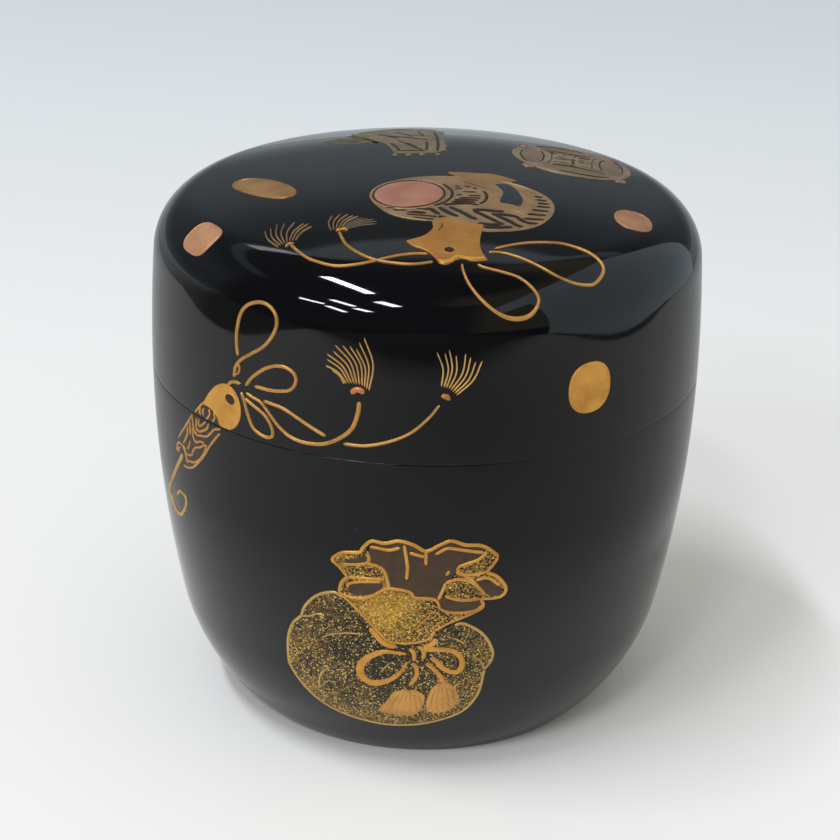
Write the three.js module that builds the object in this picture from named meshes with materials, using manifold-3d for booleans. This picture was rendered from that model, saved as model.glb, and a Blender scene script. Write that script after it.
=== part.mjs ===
// A natsume tea caddy: a turned wooden body with a lip, a domed lid that slides over the lip,
// and raised gold motifs laid on the lacquer. Millimetres, +Z up, the front faces -Y.
// The origin is the middle of the foot, on the table.

import * as THREE from 'three';
import { mergeVertices } from 'three/addons/utils/BufferGeometryUtils.js';
import Module from 'manifold-3d';

// Outside of the caddy
const outerRadius = 33;
const bodyHeight = 42.2;
const lidHeight = 23.8;
const crownRadius = 113;
const shoulderRadius = 7;
const lidSideRadius = 187;
const bodySideRadius = 151;
const haunchRadius = 25.2;
const footAngle = 45.5;
const seamEdgeRadius = 0.25;

// Walls and the lip that carries the lid
const lidWall = 2.2;
const bodyWall = 2.4;
const floorThickness = 3.5;
const lipHeight = 8;
const lipThickness = 1.4;
const lipClearance = 0.1;
const lipEdgeChamfer = 0.3;
const lipHeadroom = 0.6;
const footRingWidth = 2;
const footRecessDepth = 0.8;

// Raised gold: how far each layer stands off the lacquer
const goldSeat = 0.02;
const goldThickness = 0.14;
const goldLineHeight = 0.2;
const cordSeat = 0.22;
const cordHeight = 0.36;
const seamMargin = 0.35;

// Widths of the drawn lines
const cordWidth = 0.5;
const strandWidth = 0.26;
const outlineWidth = 0.34;
const ribbonWidth = 0.95;

// Sizes of the motifs
const malletSpan = 20;
const keySpan = 20;
const keyCordSpan = 20;
const pouchSpan = 25;
const capeSpan = 20;
const discDiameter = 14.5;
const coinLength = 9.5;
const coinWidth = 4.2;
const copperLength = 5.2;
const sideCoinLength = 5.9;

// Places of the motifs: azimuth from the front, elevation of the drawing's plane, both in degrees
const malletAzimuth = 10;
const malletElevation = 65;
const keyAzimuth = -48;
const keyCordElevation = 5;
const pouchAzimuth = -6;
const pouchElevation = -10;
const copperLeftAzimuth = -58;
const copperLeftElevation = 53;
const sideCoinAzimuth = 33;
const backCoinAzimuths = [152, 180, 206];

// How far from the shoulder's middle or the seam the middles of those planes and of the coins lie
const malletAboveShoulder = 16.375;
const keyBelowSeam = 2.2;
const keyCordAboveSeam = 7.8;
const pouchBelowSeam = 22.2;
const sideCoinAboveSeam = 7.3;
const backCoinsAboveSeam = [-15.2, 7.8, -25.2];

// Steps of the round stretches
const aroundSteps = 56;
const crownSteps = 5;
const shoulderSteps = 5;
const sideSteps = 3;
const haunchSteps = 6;
const edgeSteps = 2;
const ovalSteps = 18;
const dotSteps = 10;
const discSteps = 32;
const ribbonSteps = 4;

// How the small drawn shapes swell and bend
const ovalSquareness = 0.86;
const knotWidthShare = 0.6;
const strandMiddleShare = 0.5;
const strandMiddleBend = 1.2;

const wasm = await Module();
wasm.setup();

const radians = THREE.MathUtils.degToRad;
const degrees = THREE.MathUtils.radToDeg;
const point = (x, y) => new THREE.Vector2(x, y);

// Points of an arc about a centre, from one angle to another, both in degrees above level.
function arc(centre, radius, fromAngle, toAngle, steps) {
  const points = [];
  for (let step = 0; step <= steps; step += 1) {
    const angle = radians(fromAngle + ((toAngle - fromAngle) * step) / steps);
    points.push(point(centre.x + radius * Math.cos(angle), centre.y + radius * Math.sin(angle)));
  }
  return points;
}

// The level angle, in degrees, of the line from one point to another.
const angleTo = (from, to) => degrees(Math.atan2(to.y - from.y, to.x - from.x));

// The crown, shoulder and side of the lid are three arcs that run into each other.
// The shoulder's centre lies where a circle about each neighbour's centre meets.
const height = bodyHeight + lidHeight;
const crownCentre = point(0, height - crownRadius);
const lidSideCentre = point(outerRadius - lidSideRadius, bodyHeight);
const bodySideCentre = point(outerRadius - bodySideRadius, bodyHeight);

function meetOfCircles(first, firstRadius, second, secondRadius) {
  const gap = first.distanceTo(second);
  const along = (firstRadius ** 2 - secondRadius ** 2 + gap ** 2) / (gap + gap);
  const aside = Math.sqrt(firstRadius ** 2 - along ** 2);
  const direction = second.clone().sub(first).divideScalar(gap);
  const foot = first.clone().addScaledVector(direction, along);
  const left = foot.clone().add(point(-direction.y, direction.x).multiplyScalar(aside));
  const right = foot.clone().sub(point(-direction.y, direction.x).multiplyScalar(aside));
  return left.x > right.x ? left : right;
}

const shoulderCentre = meetOfCircles(
  crownCentre,
  crownRadius - shoulderRadius,
  lidSideCentre,
  lidSideRadius - shoulderRadius,
);
const haunchHeight = haunchRadius * Math.sin(radians(footAngle));
const haunchReach = Math.sqrt(
  (bodySideRadius - haunchRadius) ** 2 - (bodyHeight - haunchHeight) ** 2,
);
const haunchCentre = point(bodySideCentre.x + haunchReach, haunchHeight);
const footRadius = haunchCentre.x + haunchRadius * Math.cos(radians(footAngle));

const straightUp = 90;
const crownEnd = angleTo(crownCentre, shoulderCentre);
const shoulderEnd = angleTo(lidSideCentre, shoulderCentre);
const haunchStart = angleTo(bodySideCentre, haunchCentre);

// The lid's surface, moved out by an offset, from the axis down to a level.
function lidCurve(offset, level) {
  const sideEnd = degrees(Math.asin((level - bodyHeight) / (lidSideRadius + offset)));
  return [
    ...arc(crownCentre, crownRadius + offset, straightUp, crownEnd, crownSteps),
    ...arc(shoulderCentre, shoulderRadius + offset, crownEnd, shoulderEnd, shoulderSteps).slice(1),
    ...arc(lidSideCentre, lidSideRadius + offset, shoulderEnd, sideEnd, sideSteps).slice(1),
  ];
}

// The body's surface, moved out by an offset, from a level near the seam down to an angle of the haunch.
function bodyCurve(offset, level, lastAngle) {
  const sideStart = degrees(Math.asin((level - bodyHeight) / (bodySideRadius + offset)));
  return [
    ...arc(bodySideCentre, bodySideRadius + offset, sideStart, haunchStart, sideSteps),
    ...arc(haunchCentre, haunchRadius + offset, haunchStart, lastAngle, haunchSteps).slice(1),
  ];
}

// A closed geometry as a solid: its corners are merged and faces without area are dropped.
function toSolid(geometry) {
  geometry.deleteAttribute('normal');
  geometry.deleteAttribute('uv');
  const merged = mergeVertices(geometry);
  const index = merged.index.array;
  const faces = [];
  for (let face = 0; face < index.length; face += 3) {
    const [a, b, c] = index.slice(face, face + 3);
    if (a !== b && b !== c && c !== a) faces.push(a, b, c);
  }
  return new wasm.Manifold(
    new wasm.Mesh({
      numProp: 3,
      vertProperties: new Float32Array(merged.attributes.position.array),
      triVerts: new Uint32Array(faces),
    }),
  );
}

// A profile of radius and height, turned about the axis. It runs from the top down the outside.
function turned(profile) {
  const upward = [...profile].reverse();
  const geometry = new THREE.LatheGeometry(upward, aroundSteps);
  geometry.rotateX(Math.PI / 2);
  return toSolid(geometry);
}

// The lid: crown, side, rim that rests on the body's ledge, bore for the lip, and the hollow above.
function lidSolid() {
  const bore = outerRadius - lidWall;
  const hollowLevel = bodyHeight + lipHeight + lipHeadroom;
  const rimCentre = point(outerRadius - seamEdgeRadius, bodyHeight + seamEdgeRadius);
  return turned([
    ...lidCurve(0, bodyHeight + seamEdgeRadius),
    ...arc(rimCentre, seamEdgeRadius, 0, -90, edgeSteps).slice(1),
    point(bore, bodyHeight),
    point(bore, hollowLevel),
    ...lidCurve(-lidWall, hollowLevel).reverse(),
  ]);
}

// The body: side and haunch, foot ring with its recess, the chamber for the tea, lip and ledge.
function bodySolid() {
  const lipRadius = outerRadius - lidWall - lipClearance;
  const chamberRadius = lipRadius - lipThickness;
  const lipTop = bodyHeight + lipHeight;
  const floorLevel = footRecessDepth + floorThickness;
  const innerSide = bodySideRadius - bodyWall;
  const chamberDrop = Math.sqrt(innerSide ** 2 - (chamberRadius - bodySideCentre.x) ** 2);
  const innerHaunch = haunchRadius - bodyWall;
  const floorAngle = degrees(Math.asin((floorLevel - haunchHeight) / innerHaunch));
  const ledgeCentre = point(outerRadius - seamEdgeRadius, bodyHeight - seamEdgeRadius);
  return turned([
    point(0, floorLevel),
    ...bodyCurve(-bodyWall, bodyHeight - chamberDrop, floorAngle).reverse(),
    point(chamberRadius, lipTop),
    point(lipRadius - lipEdgeChamfer, lipTop),
    point(lipRadius, lipTop - lipEdgeChamfer),
    point(lipRadius, bodyHeight),
    ...arc(ledgeCentre, seamEdgeRadius, 90, 0, edgeSteps),
    ...bodyCurve(0, bodyHeight - seamEdgeRadius, -footAngle).slice(1),
    point(footRadius - footRingWidth, 0),
    point(footRadius - footRingWidth, footRecessDepth),
    point(0, footRecessDepth),
  ]);
}

// Thin shells over the lid and the body, between two heights above the lacquer.
function lidSkin(low, high) {
  const level = bodyHeight + seamMargin;
  return turned([...lidCurve(high, level), ...lidCurve(low, level).reverse()]);
}

function bodySkin(low, high) {
  const level = bodyHeight - seamMargin;
  const outside = bodyCurve(high, level, -footAngle);
  const ring = [...outside, ...bodyCurve(low, level, -footAngle).reverse(), outside[0]];
  return turned(ring);
}

// A drawing plane through the axis: right and up as seen from outside, looking along its normal.
function drawingPlane(azimuth, elevation, level) {
  const around = radians(azimuth);
  const above = radians(elevation);
  const right = new THREE.Vector3(Math.cos(around), Math.sin(around), 0);
  const normal = new THREE.Vector3(
    Math.sin(around) * Math.cos(above),
    -Math.cos(around) * Math.cos(above),
    Math.sin(above),
  );
  const up = new THREE.Vector3().crossVectors(normal, right);
  return new THREE.Matrix4().makeBasis(right, up, normal).setPosition(0, 0, level);
}

const crownPlane = drawingPlane(0, straightUp, 0);

// A drawing plane whose middle lies a distance above the shoulder's centre, measured up the plane.
function shoulderPlane(azimuth, elevation, above) {
  const slope = radians(elevation);
  const level = shoulderCentre.y - (shoulderCentre.x * Math.sin(slope) - above) / Math.cos(slope);
  return drawingPlane(azimuth, elevation, level);
}

const onShare = ([x, y], size) => point(x * size, y * size);
const scaled = (shares, size) => shares.map((share) => onShare(share, size));

// An outline of stretches that meet at corners, each point counted once.
const outlineOf = (stretches) => stretches.flatMap((stretch) => stretch.slice(1));

// An oval with slightly squared ends: the sine and cosine are raised to a power below one.
function oval(centre, length, width, turn, steps = ovalSteps) {
  const bent = (value) => Math.sign(value) * Math.abs(value) ** ovalSquareness;
  const points = [];
  for (let step = 0; step < steps; step += 1) {
    const angle = (step * 2 * Math.PI) / steps;
    const place = point((bent(Math.cos(angle)) * length) / 2, (bent(Math.sin(angle)) * width) / 2);
    points.push(place.rotateAround(point(0, 0), radians(turn)).add(centre));
  }
  return points;
}

// The two sides of a line of a given width, as short closed outlines, each one running a step into the next.
function ribbons(path, width) {
  const left = [];
  const right = [];
  path.forEach((place, step) => {
    const before = path[Math.max(step - 1, 0)];
    const after = path[Math.min(step + 1, path.length - 1)];
    const along = after.clone().sub(before).normalize();
    const aside = point(-along.y, along.x).multiplyScalar(width / 2);
    left.push(place.clone().add(aside));
    right.push(place.clone().sub(aside));
  });
  const pieces = [];
  for (let start = 0; start < path.length - 1; start += ribbonSteps) {
    const end = start + ribbonSteps + 2;
    pieces.push([...right.slice(start, end), ...left.slice(start, end).reverse()]);
  }
  return pieces;
}

// A tassel: strands that fan out from a knot, the outer ones bent the most.
function tassel({ knot, knotLength, knotTurn, lean, spread, length, strands }) {
  const outlines = [oval(knot, knotLength, knotLength * knotWidthShare, knotTurn, dotSteps)];
  for (let strand = 0; strand < strands; strand += 1) {
    const share = (strand / (strands - 1)) * 2 - 1;
    const along = (part, bend) => {
      const angle = radians(lean - spread * share * bend);
      return knot.clone().add(point(Math.cos(angle), Math.sin(angle)).multiplyScalar(length * part));
    };
    const bentStrand = [knot, along(strandMiddleShare, strandMiddleBend), along(1, 1)];
    outlines.push(...ribbons(bentStrand, strandWidth));
  }
  return outlines;
}

const drawnDepth = height;

// The solid that a flat outline sweeps out of its drawing plane, away from the axis.
function swept(outline, plane) {
  const geometry = new THREE.ExtrudeGeometry(new THREE.Shape(outline), {
    depth: drawnDepth,
    bevelEnabled: false,
  });
  geometry.applyMatrix4(plane);
  return toSolid(geometry);
}

const joined = (solids) => solids.reduce((whole, solid) => whole.add(solid));

// Raised gold on a shell: a ground of filled outlines with holes cut through it, and lines that stand on it.
function raised({ plane, skin, low = goldSeat, top = goldThickness }, { ground, holes = [], lines = [] }) {
  let whole = joined(ground.map((outline) => swept(outline, plane)));
  if (holes.length > 0) whole = whole.subtract(joined(holes.map((hole) => swept(hole, plane))));
  whole = whole.intersect(skin(low, top));
  if (lines.length > 0) {
    const drawn = joined(lines.map((outline) => swept(outline, plane)));
    whole = whole.add(drawn.intersect(skin((low + top) / 2, goldLineHeight)));
  }
  return whole;
}

const line = (shares, size, width) => ribbons(scaled(shares, size), width);
const stretchesOf = (shares, size) => outlineOf(shares.map((stretch) => scaled(stretch, size)));

// The lucky mallet, in shares of its span: barrel, crest on top, flared handle, and a window in the barrel.
const malletBarrelShares = [
  [[-0.145, -0.265], [-0.28, -0.21], [-0.37, -0.115], [-0.42, 0.05], [-0.385, 0.16], [-0.29, 0.245],
    [-0.16, 0.295], [0, 0.305], [0.13, 0.285]],
  [[0.13, 0.285], [0.3, 0.25], [0.415, 0.2], [0.53, 0.095], [0.59, -0.03], [0.565, -0.18], [0.46, -0.32],
    [0.32, -0.39], [0.145, -0.405]],
  [[0.145, -0.405], [-0.145, -0.265]],
];
const malletCrestShares = [
  [[0.07, 0.37], [0.16, 0.365], [0.25, 0.35], [0.34, 0.335], [0.455, 0.245]],
  [[0.455, 0.245], [0.36, 0.22], [0.26, 0.23], [0.16, 0.215]],
  [[0.16, 0.215], [0.12, 0.285], [0.07, 0.37]],
];
const malletHandleShares = [
  [[-0.06, -0.23], [-0.13, -0.27], [-0.145, -0.35], [-0.21, -0.425], [-0.31, -0.47]],
  [[-0.31, -0.47], [-0.285, -0.52], [-0.22, -0.58], [-0.185, -0.65], [-0.17, -0.71]],
  [[-0.17, -0.71], [-0.13, -0.725], [-0.085, -0.69], [-0.035, -0.675], [0.02, -0.705], [0.095, -0.7]],
  [[0.095, -0.7], [0.08, -0.615], [0.085, -0.525], [0.11, -0.43], [0.145, -0.33]],
  [[0.145, -0.33], [-0.06, -0.23]],
];
const malletWindowShares = [
  [[0.31, 0.185], [0.375, 0.19]],
  [[0.375, 0.19], [0.425, 0.1], [0.43, 0], [0.4, -0.12]],
  [[0.4, -0.12], [0.29, -0.08]],
  [[0.29, -0.08], [0.315, -0.01], [0.325, 0.09], [0.31, 0.185]],
];
const malletBandShares = [
  [[0.01, 0.28], [0.045, 0.17], [0.045, 0.04], [0, -0.08], [-0.12, -0.18], [-0.27, -0.205]],
  [[0.2, 0.26], [0.23, 0.15], [0.235, 0.04], [0.205, -0.05], [0.16, -0.115]],
  [[0.43, 0.19], [0.49, 0.095], [0.49, -0.03], [0.45, -0.16], [0.36, -0.26]],
];
const malletHoleShare = [-0.095, -0.59];
const malletHoleDiameterShare = 0.06;
const malletEndShare = [-0.205, 0.075];
const malletEndLengthShare = 0.4;
const malletEndWidthShare = 0.36;
const malletEndTurn = 12;

const malletPlane = shoulderPlane(malletAzimuth, malletElevation, malletAboveShoulder);

function malletSolid() {
  const holeDiameter = malletHoleDiameterShare * malletSpan;
  const end = oval(
    onShare(malletEndShare, malletSpan),
    malletEndLengthShare * malletSpan,
    malletEndWidthShare * malletSpan,
    malletEndTurn,
  );
  return raised(
    { plane: malletPlane, skin: lidSkin },
    {
      ground: [malletBarrelShares, malletCrestShares, malletHandleShares].map((part) =>
        stretchesOf(part, malletSpan)),
      holes: [
        stretchesOf(malletWindowShares, malletSpan),
        oval(onShare(malletHoleShare, malletSpan), holeDiameter, holeDiameter, 0, dotSteps),
      ],
      lines: [end, ...malletBandShares.flatMap((band) => line(band, malletSpan, outlineWidth))],
    },
  );
}

// The mallet's cords, in shares of its span: two end in tassels on the left, two loops hang on the right.
const innerTasselCordShares = [[-0.2, -0.69], [-0.3, -0.7], [-0.4, -0.675], [-0.5, -0.625], [-0.575, -0.545],
  [-0.63, -0.44], [-0.65, -0.3]];
const outerTasselCordShares = [[-0.215, -0.61], [-0.3, -0.6], [-0.4, -0.61], [-0.5, -0.635], [-0.6, -0.65],
  [-0.71, -0.635], [-0.81, -0.565], [-0.865, -0.495], [-0.92, -0.37]];
const upperLoopShares = [[0.115, -0.62], [0.18, -0.625], [0.26, -0.665], [0.35, -0.74], [0.44, -0.81],
  [0.525, -0.843], [0.6, -0.845], [0.665, -0.825], [0.72, -0.76], [0.735, -0.705], [0.71, -0.645],
  [0.65, -0.58], [0.56, -0.53], [0.475, -0.517], [0.35, -0.525], [0.25, -0.55], [0.155, -0.585]];
const lowerLoopShares = [[0.033, -0.735], [0.065, -0.765], [0.145, -0.8], [0.235, -0.84], [0.3, -0.9],
  [0.33, -0.955], [0.31, -1.005], [0.26, -1.04], [0.19, -1.052], [0.12, -1.04], [0.05, -1], [-0.005, -0.94],
  [-0.04, -0.87], [-0.053, -0.79], [-0.05, -0.725]];
const innerTassel = { knotTurn: -20, lean: 58, spread: 42, strands: 7 };
const outerTassel = { knotTurn: 35, lean: 85, spread: 36, strands: 7 };
const tasselLengthShare = 0.21;
const tasselKnotShare = 0.065;
const thinCordShare = 0.7;

function tasselCordsSolid() {
  const ends = [
    { shares: innerTasselCordShares, shape: innerTassel },
    { shares: outerTasselCordShares, shape: outerTassel },
  ];
  const ground = ends.flatMap(({ shares, shape }) => [
    ...line(shares, malletSpan, cordWidth * thinCordShare),
    ...tassel({
      ...shape,
      knot: onShare(shares.at(-1), malletSpan),
      knotLength: tasselKnotShare * malletSpan,
      length: tasselLengthShare * malletSpan,
    }),
  ]);
  return raised({ plane: malletPlane, skin: lidSkin, top: goldLineHeight }, { ground });
}

function malletLoopSolid(shares) {
  const ground = line(shares, malletSpan, cordWidth * thinCordShare);
  return raised({ plane: malletPlane, skin: lidSkin, top: goldLineHeight }, { ground });
}

// The storehouse key, in shares of its span: a cap on the lid, a grip across the seam, and a bent rod.
const keyCapShares = [
  [[-0.015, 0.205], [0.05, 0.295], [0.12, 0.36], [0.2, 0.385], [0.265, 0.35], [0.3, 0.28], [0.295, 0.205],
    [0.26, 0.145], [0.215, 0.11]],
  [[0.215, 0.11], [0.14, 0.1]],
  [[0.14, 0.1], [0.115, 0.16], [0.06, 0.195], [-0.015, 0.205]],
];
const keyGripShares = [
  [[-0.01, 0.2], [-0.095, 0.125], [-0.18, 0.035], [-0.26, -0.065], [-0.315, -0.13]],
  [[-0.315, -0.13], [-0.33, -0.195]],
  [[-0.33, -0.195], [-0.295, -0.17], [-0.26, -0.175], [-0.225, -0.215], [-0.22, -0.265]],
  [[-0.22, -0.265], [-0.17, -0.265], [-0.075, -0.195], [0.03, -0.07], [0.105, 0.035], [0.155, 0.11]],
  [[0.155, 0.11], [0.13, 0.18], [-0.01, 0.2]],
];
const keyRodShares = [[-0.24, -0.18], [-0.375, -0.345], [-0.475, -0.465], [-0.555, -0.56], [-0.54, -0.62],
  [-0.47, -0.665], [-0.39, -0.66], [-0.32, -0.6], [-0.275, -0.53], [-0.32, -0.49], [-0.4, -0.525]];
const keyWaveShares = [
  [[-0.18, 0.01], [-0.1, -0.04], [-0.04, -0.02], [0.1, 0.05]],
  [[-0.25, -0.07], [-0.15, -0.12], [-0.08, -0.08], [0.02, -0.05]],
  [[-0.29, -0.13], [-0.2, -0.18], [-0.13, -0.16], [-0.06, -0.16]],
];
const keyHoleShare = [0.225, 0.305];
const keyHoleDiameterShare = 0.06;

const keyPlane = drawingPlane(keyAzimuth, 0, bodyHeight - keyBelowSeam);

function keyCapSolid() {
  const holeDiameter = keyHoleDiameterShare * keySpan;
  return raised(
    { plane: keyPlane, skin: lidSkin },
    {
      ground: [stretchesOf(keyCapShares, keySpan), stretchesOf(keyGripShares, keySpan)],
      holes: [oval(onShare(keyHoleShare, keySpan), holeDiameter, holeDiameter, 0, dotSteps)],
    },
  );
}

function keyGripSolid() {
  return raised(
    { plane: keyPlane, skin: bodySkin },
    {
      ground: [stretchesOf(keyGripShares, keySpan), ...line(keyRodShares, keySpan, cordWidth)],
      lines: keyWaveShares.flatMap((wave) => line(wave, keySpan, strandWidth)),
    },
  );
}

// The key's cord, in shares of its span: three loops and two long ends that start at one knot.
const keyCordShares = [
  [[-0.53, -0.23], [-0.56, -0.145], [-0.575, -0.06], [-0.585, 0.025], [-0.575, 0.125], [-0.53, 0.215],
    [-0.45, 0.265], [-0.37, 0.26], [-0.32, 0.2], [-0.335, 0.11], [-0.41, 0.02], [-0.51, -0.045],
    [-0.57, -0.105], [-0.59, -0.185]],
  [[-0.53, -0.23], [-0.465, -0.155], [-0.375, -0.085], [-0.28, -0.057], [-0.21, -0.08], [-0.195, -0.13],
    [-0.235, -0.185], [-0.34, -0.208], [-0.455, -0.208], [-0.53, -0.23]],
  [[-0.53, -0.23], [-0.525, -0.31], [-0.5, -0.385], [-0.465, -0.455], [-0.4, -0.487], [-0.345, -0.48],
    [-0.34, -0.43], [-0.385, -0.365], [-0.47, -0.32], [-0.53, -0.23]],
  [[-0.53, -0.23], [-0.47, -0.265], [-0.41, -0.295], [-0.35, -0.355], [-0.295, -0.41], [-0.22, -0.455],
    [-0.125, -0.47], [-0.02, -0.455], [0.07, -0.405], [0.13, -0.345], [0.16, -0.265], [0.17, -0.18],
    [0.163, -0.125]],
  [[-0.41, -0.295], [-0.35, -0.285], [-0.27, -0.297], [-0.18, -0.335], [-0.095, -0.375], [0, -0.42],
    [0.09, -0.44], [0.2, -0.435], [0.325, -0.4], [0.44, -0.34], [0.53, -0.25], [0.59, -0.165],
    [0.61, -0.125]],
];
const nearTassel = { knotTurn: 0, lean: 116, spread: 33, strands: 8 };
const farTassel = { knotTurn: -25, lean: 76, spread: 27, strands: 7 };
const keyTasselLengthShare = 0.25;

// The cord keeps its distance from the key along the lacquer, in shares of their spans together.
const keyCordReachShare = 0.432;
const keyCordReach = (keySpan + keyCordSpan) * keyCordReachShare;
const keyCordAzimuth = keyAzimuth + degrees(keyCordReach / outerRadius);

function keyCordSolid() {
  const plane = drawingPlane(keyCordAzimuth, keyCordElevation, bodyHeight + keyCordAboveSeam);
  const tassels = [nearTassel, farTassel].flatMap((shape, end) =>
    tassel({
      ...shape,
      knot: onShare(keyCordShares.at(end - 2).at(-1), keyCordSpan),
      knotLength: tasselKnotShare * keyCordSpan,
      length: keyTasselLengthShare * keyCordSpan,
    }));
  const ground = [...keyCordShares.flatMap((shares) => line(shares, keyCordSpan, cordWidth)), ...tassels];
  return raised({ plane, skin: lidSkin, top: goldLineHeight }, { ground });
}

// The drawstring pouch, in shares of its span: a round bag, the ruffle above its neck, and fold lines.
const bagShares = [
  [[-0.208, 0.408], [-0.256, 0.428], [-0.332, 0.388], [-0.388, 0.316], [-0.412, 0.248]],
  [[-0.412, 0.248], [-0.456, 0.184], [-0.48, 0.096], [-0.484, -0.016], [-0.472, -0.08], [-0.4, -0.188],
    [-0.3, -0.272], [-0.16, -0.324], [0, -0.344], [0.16, -0.32], [0.32, -0.248], [0.396, -0.136],
    [0.42, -0.02], [0.424, 0.012]],
  [[0.424, 0.012], [0.456, 0.064], [0.456, 0.128], [0.412, 0.224], [0.332, 0.292], [0.288, 0.288]],
  [[0.288, 0.288], [0.2, 0.256]],
  [[0.2, 0.256], [0.08, 0.2], [-0.208, 0.408]],
];
const ruffleShares = [
  [[-0.008, 0.196], [-0.08, 0.284], [-0.168, 0.38], [-0.228, 0.432], [-0.216, 0.488], [-0.188, 0.524]],
  [[-0.188, 0.524], [-0.224, 0.568], [-0.264, 0.6]],
  [[-0.264, 0.6], [-0.212, 0.644], [-0.136, 0.66], [-0.08, 0.724], [-0.02, 0.72], [0.04, 0.736],
    [0.104, 0.72], [0.16, 0.688], [0.216, 0.716], [0.268, 0.736], [0.328, 0.712], [0.396, 0.7],
    [0.44, 0.668], [0.472, 0.632]],
  [[0.472, 0.632], [0.448, 0.592], [0.42, 0.56]],
  [[0.42, 0.56], [0.472, 0.524], [0.508, 0.46], [0.492, 0.42], [0.44, 0.416], [0.4, 0.424]],
  [[0.4, 0.424], [0.412, 0.384], [0.392, 0.36], [0.32, 0.328], [0.256, 0.3], [0.204, 0.264]],
  [[0.204, 0.264], [0.172, 0.216], [0.08, 0.192], [-0.008, 0.196]],
];
const pouchLineShares = [
  [[-0.412, 0.248], [-0.368, 0.268], [-0.3, 0.288]],
  [[-0.312, 0.156], [-0.252, 0.196], [-0.184, 0.212], [-0.128, 0.216]],
  [[0.424, 0.012], [0.408, 0.064], [0.372, 0.104]],
  [[-0.228, 0.432], [-0.14, 0.41], [-0.06, 0.45], [0.02, 0.475], [0.1, 0.455], [0.16, 0.43], [0.22, 0.4],
    [0.3, 0.37], [0.392, 0.36]],
];
const bowShares = [
  [[0.116, 0.136], [0, 0.144], [-0.088, 0.104], [-0.136, 0.032], [-0.128, -0.036], [-0.072, -0.064],
    [0.008, -0.04], [0.056, 0.016], [0.092, 0.096], [0.116, 0.136]],
  [[0.116, 0.136], [0.216, 0.16], [0.288, 0.136], [0.328, 0.072], [0.312, 0.024], [0.264, 0.036],
    [0.216, 0.096], [0.168, 0.12], [0.116, 0.136]],
];
const bowTailShares = [
  [[0.116, 0.136], [0.12, 0.064], [0.116, 0.008], [0.09, -0.1]],
  [[0.116, 0.136], [0.184, 0.056], [0.216, 0.008], [0.232, -0.08]],
];
const puffShares = [
  [[[0.092, -0.064], [0.032, -0.088], [-0.008, -0.144], [-0.048, -0.216], [-0.04, -0.252], [0.024, -0.268],
    [0.08, -0.272], [0.124, -0.24], [0.148, -0.184], [0.155, -0.128], [0.136, -0.088], [0.092, -0.064]]],
  [[[0.232, -0.036], [0.192, -0.072], [0.182, -0.136], [0.178, -0.208], [0.2, -0.248], [0.256, -0.248],
    [0.296, -0.208], [0.312, -0.136], [0.292, -0.072], [0.264, -0.04], [0.232, -0.036]]],
];

const pouchPlane = drawingPlane(pouchAzimuth, pouchElevation, bodyHeight - pouchBelowSeam);

function pouchSolid() {
  return raised(
    { plane: pouchPlane, skin: bodySkin },
    {
      ground: [stretchesOf(bagShares, pouchSpan), stretchesOf(ruffleShares, pouchSpan)],
      lines: pouchLineShares.flatMap((shares) => line(shares, pouchSpan, outlineWidth)),
    },
  );
}

function pouchCordSolid() {
  const ground = [
    ...puffShares.map((puff) => stretchesOf(puff, pouchSpan)),
    ...bowShares.flatMap((bow) => line(bow, pouchSpan, ribbonWidth)),
    ...bowTailShares.flatMap((tail) => line(tail, pouchSpan, cordWidth)),
  ];
  return raised({ plane: pouchPlane, skin: bodySkin, low: cordSeat, top: cordHeight }, { ground });
}

// The straw cape on the back of the crown, in shares of its span, with tufts along its hem.
const capeShares = [
  [[-0.215, 0.21], [0, 0.21]],
  [[0, 0.21], [0.025, 0.22], [0.06, 0.26], [0.095, 0.3]],
  [[0.095, 0.3], [0.09, 0.5], [0.08, 0.7], [0.075, 0.9], [0.03, 1]],
  [[0.03, 1], [-0.12, 1.06], [-0.3, 1.01], [-0.47, 0.87]],
  [[-0.47, 0.87], [-0.57, 0.74], [-0.66, 0.66]],
  [[-0.66, 0.66], [-0.6, 0.58], [-0.49, 0.53], [-0.37, 0.51]],
  [[-0.37, 0.51], [-0.3, 0.49], [-0.26, 0.41], [-0.235, 0.31], [-0.215, 0.21]],
];
const strawShares = [
  [[-0.17, 0.24], [-0.2, 0.42], [-0.32, 0.62], [-0.5, 0.74]],
  [[-0.07, 0.24], [-0.12, 0.46], [-0.2, 0.68], [-0.32, 0.88]],
  [[0.02, 0.28], [0, 0.5], [-0.04, 0.72], [-0.12, 0.94]],
];
const hemTuftShares = [[-0.2, 0.21], [-0.13, 0.21], [-0.05, 0.21], [0.04, 0.23]];
const sideTuftShares = [[0.095, 0.32], [0.09, 0.42], [0.09, 0.52]];
const tuftLengthShare = 0.07;

function strawCapeSolid() {
  const tuft = ([x, y], alongX, alongY) => [[x - alongX, y - alongY], [x, y], [x + alongX, y + alongY]];
  const tufts = [
    ...hemTuftShares.map((place) => tuft(place, 0, tuftLengthShare)),
    ...sideTuftShares.map((place) => tuft(place, tuftLengthShare, 0)),
  ];
  return raised(
    { plane: crownPlane, skin: lidSkin },
    {
      ground: [
        stretchesOf(capeShares, capeSpan),
        ...tufts.flatMap((shares) => line(shares, capeSpan, ribbonWidth)),
      ],
      lines: strawShares.flatMap((shares) => line(shares, capeSpan, outlineWidth)),
    },
  );
}

// The treasure disc: a round of four petals between the rim and inner arcs, with a pearl at each tip.
// Its place is in shares of the caddy's radius.
const discPlaceShare = [0.5185, 0.224];
const petalArcShares = [[-0.345, -0.345], [-0.215, -0.19], [-0.17, 0], [-0.215, 0.19], [-0.345, 0.345]];
const pearlDiameterShare = 0.13;
const pearlReachShare = 0.53;
const quarterTurn = Math.PI / 2;
const petals = 4;

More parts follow.
